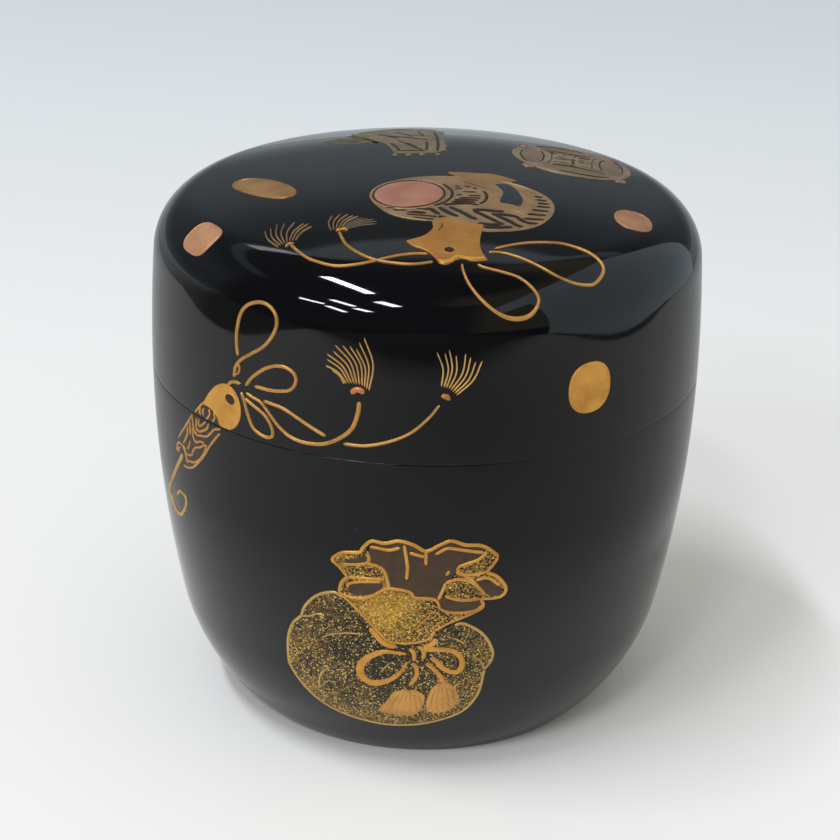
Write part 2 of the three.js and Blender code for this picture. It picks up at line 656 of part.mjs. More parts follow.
function treasureDiscSolid() {
  const centre = onShare(discPlaceShare, outerRadius);
  const ground = [oval(centre, discDiameter, discDiameter, 0, discSteps)];
  const lines = [];
  const pearl = pearlDiameterShare * discDiameter;
  for (let petal = 0; petal < petals; petal += 1) {
    const turn = quarterTurn * petal;
    const arcPoints = scaled(petalArcShares, discDiameter).map((place) =>
      place.rotateAround(point(0, 0), turn).add(centre));
    lines.push(...ribbons(arcPoints, outlineWidth));
    const tip = point(pearlReachShare * discDiameter, 0).rotateAround(point(0, 0), turn + quarterTurn / 2);
    ground.push(oval(tip.add(centre), pearl, pearl, 0, dotSteps));
  }
  return raised({ plane: crownPlane, skin: lidSkin }, { ground, lines });
}

// Oval coins: the top one by its place in the mallet's plane, one on the crown by its place in plan,
// and the others at the middle of their own drawing plane.
const topCoinShare = [-0.986, 0.403];
const topCoinTurn = -52.7;
const copperRightShare = [0.7, -0.333];
const copperWidthShare = 0.84;
const sideCoinWidthShare = 0.95;

function coinSolid(plane, skin, centre, length, width, turn) {
  return raised({ plane, skin }, { ground: [oval(centre, length, width, turn)] });
}

const middle = point(0, 0);
const faceOn = (azimuth, aboveSeam) => drawingPlane(azimuth, 0, bodyHeight + aboveSeam);
const copperWidth = copperLength * copperWidthShare;
const sideCoinWidth = sideCoinLength * sideCoinWidthShare;
const copperLeftPlane = shoulderPlane(copperLeftAzimuth, copperLeftElevation, 0);

const lacquer = new THREE.MeshStandardMaterial({ color: 0x0d0e10, roughness: 0.08, metalness: 0 });
const gold = new THREE.MeshStandardMaterial({ color: 0xcd9646, roughness: 0.35, metalness: 0.6 });
const copper = new THREE.MeshStandardMaterial({ color: 0xc98c6c, roughness: 0.4, metalness: 0.5 });

const caddy = new THREE.Group();

// A solid as a named mesh of the caddy.
function addPart(name, solid, material) {
  const { vertProperties, triVerts } = solid.getMesh();
  const geometry = new THREE.BufferGeometry();
  geometry.setAttribute('position', new THREE.BufferAttribute(vertProperties, 3));
  geometry.setIndex(new THREE.BufferAttribute(triVerts, 1));
  geometry.computeVertexNormals();
  const mesh = new THREE.Mesh(geometry, material);
  mesh.name = name;
  caddy.add(mesh);
}

addPart('body', bodySolid(), lacquer);
addPart('lid', lidSolid(), lacquer);
addPart('mallet', malletSolid(), gold);
addPart('mallet_tassel_cords', tasselCordsSolid(), gold);
addPart('mallet_upper_loop', malletLoopSolid(upperLoopShares), gold);
addPart('mallet_lower_loop', malletLoopSolid(lowerLoopShares), gold);
addPart('key_cap', keyCapSolid(), gold);
addPart('key_cord', keyCordSolid(), gold);
addPart('key_grip', keyGripSolid(), gold);
addPart('pouch', pouchSolid(), gold);
addPart('pouch_cord', pouchCordSolid(), gold);
addPart('straw_cape', strawCapeSolid(), gold);
addPart('treasure_disc', treasureDiscSolid(), gold);

const topCoinMiddle = onShare(topCoinShare, malletSpan);
const copperRightMiddle = onShare(copperRightShare, outerRadius);
const sideCoinPlane = faceOn(sideCoinAzimuth, sideCoinAboveSeam);
addPart('top_coin', coinSolid(malletPlane, lidSkin, topCoinMiddle, coinLength, coinWidth, topCoinTurn), gold);
addPart('side_coin', coinSolid(sideCoinPlane, lidSkin, middle, sideCoinWidth, sideCoinLength, 0), gold);
const copperLeft = coinSolid(copperLeftPlane, lidSkin, middle, copperLength, copperWidth, 0);
const copperRight = coinSolid(crownPlane, lidSkin, copperRightMiddle, copperWidth, copperLength, 0);
addPart('copper_coin_left', copperLeft, copper);
addPart('copper_coin_right', copperRight, copper);
backCoinAzimuths.forEach((azimuth, number) => {
  const aboveSeam = backCoinsAboveSeam[number];
  const skin = aboveSeam > 0 ? lidSkin : bodySkin;
  const coin = coinSolid(faceOn(azimuth, aboveSeam), skin, middle, sideCoinWidth, sideCoinLength, 0);
  addPart(`back_coin_${number + 1}`, coin, gold);
});

export default caddy;
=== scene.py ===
import math
import bpy
import numpy as np
from mathutils import Matrix, Vector


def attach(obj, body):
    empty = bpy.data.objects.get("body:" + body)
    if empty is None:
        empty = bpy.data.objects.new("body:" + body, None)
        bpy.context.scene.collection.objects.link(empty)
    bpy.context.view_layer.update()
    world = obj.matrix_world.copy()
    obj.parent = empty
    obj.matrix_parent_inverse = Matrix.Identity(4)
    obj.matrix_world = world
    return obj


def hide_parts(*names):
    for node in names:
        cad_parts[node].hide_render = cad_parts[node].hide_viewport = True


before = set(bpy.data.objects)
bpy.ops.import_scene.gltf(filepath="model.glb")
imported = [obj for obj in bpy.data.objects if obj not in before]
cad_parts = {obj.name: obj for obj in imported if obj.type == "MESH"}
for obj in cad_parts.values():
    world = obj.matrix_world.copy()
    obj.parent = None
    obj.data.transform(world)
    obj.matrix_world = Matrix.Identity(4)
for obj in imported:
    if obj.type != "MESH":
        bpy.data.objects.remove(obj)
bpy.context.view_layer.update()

# The caddy's own sizes, in millimetres, as in the solids, but with a finer edge at the seam
MM = 0.001
OUTER_RADIUS = 33.0
BODY_HEIGHT = 42.2
LID_HEIGHT = 23.8
CROWN_RADIUS = 113.0
SHOULDER_RADIUS = 7.0
LID_SIDE_RADIUS = 187.0
BODY_SIDE_RADIUS = 151.0
HAUNCH_RADIUS = 25.2
FOOT_ANGLE = 45.5
SEAM_EDGE_RADIUS = 0.08
LID_WALL = 2.2
BODY_WALL = 2.4
FLOOR_THICKNESS = 3.5
LIP_HEIGHT = 8.0
LIP_THICKNESS = 1.4
LIP_CLEARANCE = 0.1
LIP_EDGE_CHAMFER = 0.3
LIP_HEADROOM = 0.6
FOOT_RING_WIDTH = 2.0
FOOT_RECESS_DEPTH = 0.8

# Spans of the motifs, in millimetres; their points are written in hundredths of the span
MALLET_SPAN = 20.0
KEY_SPAN = 20.0
KEY_CORD_SPAN = 20.0
POUCH_SPAN = 25.0
CAPE_SPAN = 20.0
DISC_DIAMETER = 14.5
COIN_LENGTH = 9.5
COIN_WIDTH = 4.2
COPPER_LENGTH = 5.2
COPPER_WIDTH = 4.37
COPPER_LEFT_SQUARENESS = 0.62
SIDE_COIN_LENGTH = 5.9
SIDE_COIN_WIDTH = 5.6
COIN_SQUARENESS = 0.88
COIN_RIM_INSET = 0.36
PEARL_LENGTH = 1.6
PEARL_WIDTH = 1.4
HUNDREDTH = 0.01

# Where the drawing planes stand: azimuth and elevation in degrees, level in millimetres
MALLET_AZIMUTH = 10.0
MALLET_ELEVATION = 65.0
MALLET_ABOVE_SHOULDER = 16.375
KEY_AZIMUTH = -48.0
KEY_BELOW_SEAM = 2.2
KEY_CORD_AZIMUTH = -18.0
KEY_CORD_ELEVATION = 5.0
KEY_CORD_ABOVE_SEAM = 7.8
POUCH_AZIMUTH = -6.0
POUCH_ELEVATION = -10.0
POUCH_BELOW_SEAM = 22.2
COPPER_LEFT_AZIMUTH = -58.0
COPPER_LEFT_ELEVATION = 53.0
SIDE_COIN_AZIMUTH = 33.0
SIDE_COIN_ABOVE_SEAM = 7.3
BACK_COIN_AZIMUTHS = (152.0, 180.0, 206.0)
BACK_COINS_ABOVE_SEAM = (-15.2, 7.8, -25.2)
STRAIGHT_UP = 90.0
TOP_COIN_CENTRE = (-19.72, 8.06)
TOP_COIN_TURN = -52.7
COPPER_RIGHT_CENTRE = (23.1, -10.99)
DISC_CENTRE = (17.11, 7.39)

# The raised work, in millimetres: its heights above the lacquer, how deep its foot is sunk, and a fill's rim
GROUND_HEIGHT = 0.09
SUNK = 0.03
RIM_WIDTH = 0.22
PEARL_RIM_WIDTH = 0.18

# Across a fill's rim: the share of its width that is left, and the share of its height
RIM_SHARES = ((0.45, 0.86), (0.12, 0.5))

# The least share of a fill that lies inside its rim, and of a line's width at its very end, squared
LEAST_INNER_SHARE = 0.3
LEAST_ROUNDING = 0.06

# Kinds of fill: height, swell and base in millimetres
COIN_FILL = (0.09, 0.05)
STRAP_FILL = (0.143,)
HANDLE_FILL = (0.16,)
END_DISC_FILL = (0.16, 0.0, 0.045)
WINDOW_FILL = (0.16, 0.0, 0.09)
HANDLE_HOLE_FILL = (0.176, 0.0, 0.16)
KEY_CAP_FILL = (0.117, 0.05)
KEY_GROUND_FILL = (0.054,)
KEY_HOLE_FILL = (0.192, 0.0, 0.09)
BAG_FILL = (0.09, 0.08)
RUFFLE_INSIDE_FILL = (0.072,)
RUFFLE_FRONT_FILL = (0.144, 0.05)
FLAP_FILL = (0.108,)
SLOT_FILL = (0.1305, 0.0, 0.081)
PUFF_FILL = (0.225, 0.1, 0.045)
LENS_FILL = (0.13, 0.0, 0.045)
PEARL_FILL = (0.16, 0.05)

# Kinds of line: width, height and base in millimetres, then the shares of the width from start to end
OUTLINE = (0.36, 0.16)
BARREL_RIM = (0.288, 0.16, 0.045)
STRAP_RIM = (0.288, 0.184, 0.045)
HANDLE_RIM = (0.48, 0.208, 0.09)
HANDLE_HOLE_RIM = (0.24, 0.192, 0.09)
HANDLE_LINE = (0.24, 0.184, 0.09)
BARK = (0.792, 0.1495, 0.06, (0.8, 1.0, 0.8))
HATCH = (0.63, 0.1495, 0.06, (1.0, 0.7))
HERRINGBONE = (0.384, 0.1495, 0.06)
END_DISC_RIM = (0.264, 0.16, 0.045)
WINDOW_BAR = (0.144, 0.184, 0.13)
CORD = (0.36, 0.2)
LOOP_CORD = (0.36, 0.2, 0.0, (0.75, 0.9, 1.05, 0.95, 0.75))
OUTER_KNOT = (0.36, 0.24)
INNER_KNOT = (0.324, 0.24)
STRAND = (0.21, 0.2, 0.0, (1.0, 0.6))
FAINT_STRAND = (0.294, 0.09, 0.0, (1.0, 0.6))
KEY_CAP_LINE = (0.276, 0.16)
KEY_HOLE_RIM = (0.24, 0.208, 0.09)
KEY_GRIP_LINE = (0.3168, 0.16)
KEY_ROD = (0.48, 0.16, 0.0, (1.25, 0.85))
KEY_LOOP = (0.4032, 0.2)
FIRST_CORD = (0.414, 0.2, 0.0, (0.8, 1.25))
SECOND_CORD_NEAR = (0.396, 0.2)
SECOND_CORD_FAR = (0.36, 0.2, 0.0, (1.1, 0.8))
SMALL_RING = (0.24, 0.2)
NEAR_KNOT = (0.648, 0.26)
FAR_KNOT = (0.624, 0.26)
BAG_CREASE = (0.24, 0.208, 0.045)
RUFFLE_LINE = (0.432, 0.192)
FRONT_FOLD = (0.24, 0.208, 0.09)
BOW_LEFT = (0.9, 0.3, 0.09, (0.4, 0.6, 0.9, 1.1, 1.2, 1.1, 0.8, 0.6, 0.45))
BOW_RIGHT = (0.9, 0.3, 0.09, (0.9, 0.8, 0.75, 0.75, 0.75, 0.75, 0.6))
BOW_TAIL = (0.576, 0.3, 0.09)
BOW_KNOT = (0.552, 0.33, 0.09)
NECK_CORD = (0.72, 0.3, 0.09)
PUFF_FRAY = (0.378, 0.285, 0.045, (1.0, 0.6))
PUFF_COLLAR = (0.24, 0.36, 0.09)
PUFF_HAIR = (0.192, 0.33, 0.09, (0.7, 1.0, 0.6))
CAPE_EDGE = (0.45, 0.16, 0.045)
CAPE_HEM = (0.594, 0.16, 0.045)
CAPE_TUFT = (0.72, 0.16)
CAPE_SIDE_TUFT = (0.9, 0.16)
CAPE_WING = (0.81, 0.09, 0.0, (0.5, 1.0, 0.6))
CAPE_STRAW = (0.414, 0.143, 0.06)
DISC_RIM = (0.45, 0.16, 0.045)
PETAL = (0.945, 0.16, 0.045)
PETAL_LINE = (0.24, 0.176, 0.045)
WAVE_DARK = (0.36, 0.13, 0.045)
WAVE_LIGHT = (0.432, 0.16, 0.045)
COIN_RIM = (0.24, 0.16, 0.045)

# How far tassel strands bow to the left of their way out, as shares of their length
OUTER_STRAND_BOW = 0.09
INNER_STRAND_BOW = 0.1
FAINT_STRAND_BOW = 0.06
NEAR_STRAND_BOW = -0.12
FAR_STRAND_BOW = -0.1

# How finely the surfaces are worked out
AROUND_STEPS = 288
CROWN_STEPS = 40
SHOULDER_STEPS = 28
SIDE_STEPS = 20
HAUNCH_STEPS = 36
EDGE_STEPS = 6
ACROSS_STEPS = 7
BRUSH_STEP = 0.3
PATCH_STEP = 0.9
LEAST_EDGE_POINTS = 16
SEARCH_STEPS = 40
SHARP_ANGLE = 35.0
TINY = 1e-9
SMALL_OVAL_POINTS = 32
COIN_POINTS = 72
MALLET_END_POINTS = 80
DISC_POINTS = 96
DISC_RIM_POINTS = 120
PEARL_POINTS = 28

# The photograph's camera
FRAME_WIDTH = 840
SENSOR_WIDTH = 36.0
CAMERA_ELEVATION = 23.812
CAMERA_DISTANCE = 250.52
CAMERA_FOCAL_PIXELS = 2022.31
CAMERA_ROLL = 1.375
CAMERA_CENTRE_X = 423.82
CAMERA_CENTRE_Y = 420.186
CLIP_END = 100.0


# Small sums that the shapes share

def arc(centre, radius, start, end, steps):
    """Points at a radius from a centre, at equal steps of angle from start to end, in degrees above level."""
    angle = np.radians(np.linspace(start, end, steps + 1))
    return np.column_stack([centre[0] + radius * np.cos(angle), centre[1] + radius * np.sin(angle)])


def angle_to(start, end):
    """The level angle, in degrees, of the line from one point to another."""
    return math.degrees(math.atan2(end[1] - start[1], end[0] - start[0]))


def meet_of_circles(first, first_radius, second, second_radius):
    """The right-hand point that lies at a given distance from each of two centres."""
    first = np.array(first)
    second = np.array(second)
    gap = np.linalg.norm(second - first)
    along = (first_radius ** 2 - second_radius ** 2 + gap ** 2) / (gap + gap)
    aside = math.sqrt(first_radius ** 2 - along ** 2)
    direction = (second - first) / gap
    foot = first + direction * along
    across = np.array([-direction[1], direction[0]]) * aside
    return max(foot + across, foot - across, key=lambda place: place[0])


HEIGHT = BODY_HEIGHT + LID_HEIGHT
CROWN_CENTRE = (0.0, HEIGHT - CROWN_RADIUS)
LID_SIDE_CENTRE = (OUTER_RADIUS - LID_SIDE_RADIUS, BODY_HEIGHT)
BODY_SIDE_CENTRE = (OUTER_RADIUS - BODY_SIDE_RADIUS, BODY_HEIGHT)
SHOULDER_CENTRE = meet_of_circles(
    CROWN_CENTRE, CROWN_RADIUS - SHOULDER_RADIUS, LID_SIDE_CENTRE, LID_SIDE_RADIUS - SHOULDER_RADIUS)
HAUNCH_LEVEL = HAUNCH_RADIUS * math.sin(math.radians(FOOT_ANGLE))
HAUNCH_REACH = math.sqrt((BODY_SIDE_RADIUS - HAUNCH_RADIUS) ** 2 - (BODY_HEIGHT - HAUNCH_LEVEL) ** 2)
HAUNCH_CENTRE = (BODY_SIDE_CENTRE[0] + HAUNCH_REACH, HAUNCH_LEVEL)
FOOT_RADIUS = HAUNCH_CENTRE[0] + HAUNCH_RADIUS * math.cos(math.radians(FOOT_ANGLE))
CROWN_END = angle_to(CROWN_CENTRE, SHOULDER_CENTRE)
SHOULDER_END = angle_to(LID_SIDE_CENTRE, SHOULDER_CENTRE)
HAUNCH_START = angle_to(BODY_SIDE_CENTRE, HAUNCH_CENTRE)

# The arcs of the outside from the foot up: centre, radius, and the level at which each one ends
OUTSIDE_ARCS = (
    (HAUNCH_CENTRE, HAUNCH_RADIUS, HAUNCH_LEVEL + HAUNCH_RADIUS * math.sin(math.radians(HAUNCH_START))),
    (BODY_SIDE_CENTRE, BODY_SIDE_RADIUS, BODY_HEIGHT),
    (LID_SIDE_CENTRE, LID_SIDE_RADIUS,
     SHOULDER_CENTRE[1] + SHOULDER_RADIUS * math.sin(math.radians(SHOULDER_END))),
    (SHOULDER_CENTRE, SHOULDER_RADIUS,
     SHOULDER_CENTRE[1] + SHOULDER_RADIUS * math.sin(math.radians(CROWN_END))),
    (CROWN_CENTRE, CROWN_RADIUS, HEIGHT),
)


def outside_at(level):
    """Radius of the outside at each level: the centre of that level's arc plus the arc's half chord there."""
    which = np.searchsorted([ends for _, _, ends in OUTSIDE_ARCS], np.clip(level, 0.0, HEIGHT))
    which = np.minimum(which, len(OUTSIDE_ARCS) - 1)
    centre_r = np.array([centre[0] for centre, _, _ in OUTSIDE_ARCS])[which]
    centre_z = np.array([centre[1] for centre, _, _ in OUTSIDE_ARCS])[which]
    radius = np.array([radius for _, radius, _ in OUTSIDE_ARCS])[which]
    reach = centre_r + np.sqrt(np.maximum(radius ** 2 - (level - centre_z) ** 2, 0.0))
    return np.where((level < 0.0) | (level > HEIGHT), 0.0, reach), centre_r, centre_z


class DrawingPlane:
    """A plane through the axis, seen from outside: right and up lie in it, and its normal looks at the
    viewer."""

    def __init__(self, azimuth, elevation, level):
        around = math.radians(azimuth)
        above = math.radians(elevation)
        self.right = np.array([math.cos(around), math.sin(around), 0.0])
        self.normal = np.array([
            math.sin(around) * math.cos(above), -math.cos(around) * math.cos(above), math.sin(above)])
        self.up = np.cross(self.normal, self.right)
        self.middle = np.array([0.0, 0.0, level])

    def lay(self, drawn, height):
        """Each drawn point is carried along the plane's normal to the lacquer, found by halving a span that
        starts at the axis and ends outside, and then stands off the lacquer by its height."""
        start = self.middle + drawn[:, :1] * self.right + drawn[:, 1:] * self.up
        inner = np.zeros(len(drawn))
        outer = np.full(len(drawn), HEIGHT + OUTER_RADIUS)
        for _ in range(SEARCH_STEPS):
            half = (inner + outer) / 2
            place = start + half[:, None] * self.normal
            within = np.hypot(place[:, 0], place[:, 1]) < outside_at(place[:, 2])[0]
            inner = np.where(within, half, inner)
            outer = np.where(within, outer, half)
        place = start + inner[:, None] * self.normal
        reach = np.hypot(place[:, 0], place[:, 1])
        _, centre_r, centre_z = outside_at(place[:, 2])
        out = np.column_stack([
            (reach - centre_r) * place[:, 0] / np.maximum(reach, HUNDREDTH),
            (reach - centre_r) * place[:, 1] / np.maximum(reach, HUNDREDTH),
            place[:, 2] - centre_z])
        out /= np.linalg.norm(out, axis=1)[:, None]
        return place + out * height[:, None]


def shoulder_plane(azimuth, elevation, above):
    """A drawing plane whose middle lies a distance above the shoulder's centre, measured up the plane."""
    slope = math.radians(elevation)
    level = SHOULDER_CENTRE[1] - (SHOULDER_CENTRE[0] * math.sin(slope) - above) / math.cos(slope)
    return DrawingPlane(azimuth, elevation, level)


def flowing(points, step=BRUSH_STEP):
    """A curve through all points: each span is a cubic whose end slopes are half the step between the
    neighbours."""
    points = np.asarray(points, float)
    if len(points) < 2:
        return points
    first = 2 * points[:1] - points[1:2]
    last = 2 * points[-1:] - points[-2:-1]
    ring = np.vstack([first, points, last])
    longest = np.linalg.norm(np.diff(points, axis=0), axis=1).max()
    share = np.linspace(0, 1, max(2, math.ceil(longest / step)), endpoint=False)[None, :, None]
    a, b, c, d = (ring[start:start + len(points) - 1, None, :] for start in range(4))
    curve = b + share / 2 * (c - a + share * (2 * a - 5 * b + 4 * c - d + share * (3 * (b - c) + d - a)))
    return np.vstack([curve.reshape(-1, points.shape[1]), points[-1:]])


def evenly(path, count, closed=False):
    """The same path with a given number of points, at equal distances along it."""
    if closed:
        path = np.vstack([path, path[:1]])
    along = np.concatenate([[0], np.cumsum(np.linalg.norm(np.diff(path, axis=0), axis=1))])
    places = np.linspace(0, along[-1], count, endpoint=not closed)
    return np.column_stack([np.interp(places, along, path[:, side]) for side in range(path.shape[1])])


def oval(centre, length, width, turn=0.0, squareness=1.0, start=0.0, end=360.0, count=48):
    """An oval about a centre: length times cosine and width times sine, each raised to a power, then
    turned."""
    angle = np.radians(np.linspace(start, end, count, endpoint=end - start < 360.0))
    x = np.sign(np.cos(angle)) * np.abs(np.cos(angle)) ** squareness * length / 2
    y = np.sign(np.sin(angle)) * np.abs(np.sin(angle)) ** squareness * width / 2
    tilt = math.radians(turn)
    return np.column_stack([
        centre[0] + x * math.cos(tilt) - y * math.sin(tilt),
        centre[1] + x * math.sin(tilt) + y * math.cos(tilt)])


# One mesh of closed shells, drawn on a plane and laid on the lacquer

class RaisedWork:
    """Closed shells that a brush or a fill leaves on the lacquer. What is drawn is in hundredths of the span,
    which are millimetres where no span is given. Drawn points are kept with their heights, and the whole is
    laid on the surface at once."""

    def __init__(self, plane, span=1 / HUNDREDTH):
        self.plane = plane
        self.unit = span * HUNDREDTH
        self.points = []
        self.heights = []
        self.shells = []
        self.count = 0

    def add(self, drawn, heights, faces):
        self.points.append(drawn)
        self.heights.append(heights)
        self.shells.append([[corner + self.count for corner in face] for face in faces])
        self.count += len(drawn)

    def half_round(self, path, slope, half, rise, base, closed):
        """A line's shell: its section is half an ellipse, half wide and rise high at each point of the path,
        on a flat foot that is sunk below its base. A closed line's last section joins its first."""
        slope = slope / np.maximum(np.linalg.norm(slope, axis=1), TINY)[:, None]
        aside = np.column_stack([-slope[:, 1], slope[:, 0]])
        angle = np.linspace(math.pi, 0, ACROSS_STEPS)
        across = np.concatenate([[-1], np.cos(angle), [1]])
        lift = np.concatenate([[0], np.sin(angle), [0]])
        drawn = path[:, None, :] + aside[:, None, :] * half[:, None, None] * across[None, :, None]
        heights = base + rise[:, None] * lift[None, :]
        heights[:, 0] = base - SUNK
        heights[:, -1] = base - SUNK
        index = np.arange(heights.size).reshape(heights.shape)
        beside = np.roll(index, -1, axis=1)
        walls = np.stack([index, beside, np.roll(beside, -1, axis=0), np.roll(index, -1, axis=0)], axis=2)
        if closed:
            faces = walls.reshape(-1, 4).tolist()
        else:
            faces = walls[:-1].reshape(-1, 4).tolist() + [index[0][::-1].tolist(), index[-1].tolist()]
        self.add(drawn.reshape(-1, 2), heights.reshape(-1), faces)

    def brush(self, points, width, height, base=0.0, taper=(1.0, 1.0)):
        """A half-round line along a flowing path: its width runs evenly through the shares of the width that
        the taper lists, and both ends are rounded off by a quarter circle in as much length as half its
        width."""
        path = flowing(np.asarray(points, float) * self.unit)
        along = np.concatenate([[0], np.cumsum(np.linalg.norm(np.diff(path, axis=0), axis=1))])
        half = width / 2 * np.interp(along / along[-1], np.linspace(0, 1, len(taper)), taper)
        to_end = np.minimum(along, along[-1] - along) / (width / 2)
        rounding = np.sqrt(np.clip(1 - (1 - np.minimum(to_end, 1)) ** 2, LEAST_ROUNDING, 1))
        rise = (height - base) * np.sqrt(rounding)
        self.half_round(path, np.gradient(path, axis=0), half * rounding, rise, base, closed=False)

    def brushes(self, table, *kind):
        """Several brushed lines of one kind."""
        for points in table:
            self.brush(points, *kind)

    def strands(self, roots, tips, bow, *kind):
        """Tassel strands: their roots are spread evenly along a short line, and each one bows by a share of
        its length to the left of its way out (to the right where the share is negative)."""
        tips = np.array(tips, float)
        for start, tip in zip(evenly(np.array(roots, float), len(tips)), tips):
            way = tip - start
            self.brush([start, (start + tip) / 2 + np.array([-way[1], way[0]]) * bow, tip], *kind)

    def ring(self, outline, width, height, base=0.0):
        """A half-round line along a closed outline."""
        path = outline * self.unit
        slope = np.roll(path, -1, axis=0) - np.roll(path, 1, axis=0)
        whole = np.ones(len(path))
        self.half_round(path, slope, whole * width / 2, whole * (height - base), base, closed=True)

    def fill(self, shape, height=GROUND_HEIGHT, swell=0.0, base=0.0, middle=None, rim=RIM_WIDTH):
        """A filled shape: rings shrink from its outline towards its middle, the top swells by one less the
        ring's share squared, the rim falls off within its width, and the foot is a sunk copy of the top. A
        shape that is a list of stretches flows along each one and turns where the next one starts."""
        if isinstance(shape, list):
            outline = np.vstack([flowing(np.array(stretch) * self.unit)[:-1] for stretch in shape])
        else:
            outline = shape * self.unit
        middle = outline.mean(axis=0) if middle is None else np.array(middle) * self.unit
        length = np.linalg.norm(np.diff(np.vstack([outline, outline[:1]]), axis=0), axis=1).sum()
        edge = evenly(outline, max(LEAST_EDGE_POINTS, math.ceil(length / BRUSH_STEP)), closed=True)
        spoke = edge - middle
        reach = np.linalg.norm(spoke, axis=1)
        rings = max(2, math.ceil(reach.max() / PATCH_STEP))
        inner_edge = np.clip(1 - rim / reach, LEAST_INNER_SHARE, 1.0)
        shares = [inner_edge * ring / rings for ring in range(1, rings + 1)]
        lifts = [height + swell * (1 - (ring / rings) ** 2) for ring in range(1, rings + 1)]
        shares += [1 - (1 - inner_edge) * left for left, _ in RIM_SHARES] + [np.ones(len(edge))]
        lifts += [base + (height - base) * high for _, high in RIM_SHARES] + [base - SUNK]
        top = np.vstack([middle + spoke * share[:, None] for share in shares])
        foot = top[:-len(edge)]
        drawn = np.vstack([middle, top, foot, middle])
        heights = np.concatenate([
            [height + swell], np.repeat(lifts, len(edge)), np.full(len(foot) + 1, base - SUNK)])
        upper = 1 + np.arange(len(top)).reshape(-1, len(edge))
        lower = 1 + len(top) + np.arange(len(foot)).reshape(-1, len(edge))
        layers = np.vstack([upper, lower[::-1]])
        beside = np.roll(layers, -1, axis=1)
        walls = np.stack([layers[:-1], layers[1:], beside[1:], beside[:-1]], axis=2).reshape(-1, 4)
        caps = fan(0, upper[0]) + fan(len(drawn) - 1, lower[0][::-1])
        self.add(drawn, heights, walls.tolist() + caps)

    def finish(self, name, material, body, nodes=(), slot="gold"):
        """Lays all shells on the lacquer, turns each one's faces outwards by the sign of its volume, and
        makes the named piece."""
        places = self.plane.lay(np.vstack(self.points), np.concatenate(self.heights))
        faces = []
        for shell in self.shells:
            fans = [
                [face[0], face[step], face[step + 1]] for face in shell for step in range(1, len(face) - 1)]
            corner = places[np.array(fans)] - places[shell[0][0]]
            volume = np.einsum("ij,ij->i", corner[:, 0], np.cross(corner[:, 1], corner[:, 2])).sum()
            faces.extend(shell if volume > 0 else [face[::-1] for face in shell])
        make_piece(name, places, faces, material, body, nodes)


def fan(middle, ring):
    """Triangles from a middle point to each side of a closed ring."""
    return [[middle, int(first), int(second)] for first, second in zip(ring, np.roll(ring, -1))]


def make_piece(name, places, faces, material, body, nodes):
    """A mesh in metres, smooth except at sharp turns, that rides on its body and stands for its nodes."""
    mesh = bpy.data.meshes.new(name)
    mesh.from_pydata((places * MM).tolist(), [], faces)
    mesh.update()
    mesh.validate()
    mesh.shade_smooth()
    mesh.set_sharp_from_angle(angle=math.radians(SHARP_ANGLE))
    mesh.materials.append(material)
    piece = bpy.data.objects.new(name, mesh)
    bpy.context.scene.collection.objects.link(piece)
    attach(piece, body)
    if nodes:
        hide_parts(*nodes)


def turned(name, profile, material, body, nodes):
    """A profile of radius and height, both ends on the axis, turned about it: each ring is one point of the
    profile at equal angles, and the two ends are closed by fans."""
    angle = np.linspace(0, 2 * math.pi, AROUND_STEPS, endpoint=False)
    rings = profile[1:-1]
    places = np.stack([
        rings[:, :1] * np.cos(angle), rings[:, :1] * np.sin(angle),
        np.repeat(rings[:, 1:], AROUND_STEPS, axis=1)], axis=2).reshape(-1, 3)
    places = np.vstack([[0, 0, profile[0, 1]], places, [0, 0, profile[-1, 1]]])
    index = 1 + np.arange(len(rings) * AROUND_STEPS).reshape(-1, AROUND_STEPS)
    beside = np.roll(index, -1, axis=1)
    walls = np.stack([index[:-1], beside[:-1], beside[1:], index[1:]], axis=2).reshape(-1, 4).tolist()
    caps = fan(0, index[0][::-1]) + fan(len(places) - 1, index[-1])
    make_piece(name, places, walls + caps, material, body, nodes)


def joined(*stretches):
    """Profile stretches in one array, without points that repeat."""
    points = np.vstack([np.atleast_2d(stretch) for stretch in stretches])
    kept = np.concatenate([[True], np.linalg.norm(np.diff(points, axis=0), axis=1) > HUNDREDTH ** 2])
    return points[kept]


def lid_profile():
    """From the crown's middle down the outside, round the rim, up the bore and under the crown, to the axis;
    written upwards from the hollow so that the faces look outwards."""
    bore = OUTER_RADIUS - LID_WALL
    hollow_level = BODY_HEIGHT + LIP_HEIGHT + LIP_HEADROOM
    side_end = math.degrees(math.asin(SEAM_EDGE_RADIUS / LID_SIDE_RADIUS))
    inner_side = LID_SIDE_RADIUS - LID_WALL
    inner_start = math.degrees(math.asin((hollow_level - BODY_HEIGHT) / inner_side))
    outside = joined(
        arc(CROWN_CENTRE, CROWN_RADIUS, STRAIGHT_UP, CROWN_END, CROWN_STEPS),
        arc(SHOULDER_CENTRE, SHOULDER_RADIUS, CROWN_END, SHOULDER_END, SHOULDER_STEPS),
        arc(LID_SIDE_CENTRE, LID_SIDE_RADIUS, SHOULDER_END, side_end, SIDE_STEPS),
        arc((OUTER_RADIUS - SEAM_EDGE_RADIUS, BODY_HEIGHT + SEAM_EDGE_RADIUS), SEAM_EDGE_RADIUS, 0, -90,
            EDGE_STEPS))
    inside = joined(
        (bore, BODY_HEIGHT),
        (bore, hollow_level),
        arc(LID_SIDE_CENTRE, inner_side, inner_start, SHOULDER_END, SIDE_STEPS),
        arc(SHOULDER_CENTRE, SHOULDER_RADIUS - LID_WALL, SHOULDER_END, CROWN_END, SHOULDER_STEPS),
        arc(CROWN_CENTRE, CROWN_RADIUS - LID_WALL, CROWN_END, STRAIGHT_UP, CROWN_STEPS))
    return joined(outside, inside)[::-1]


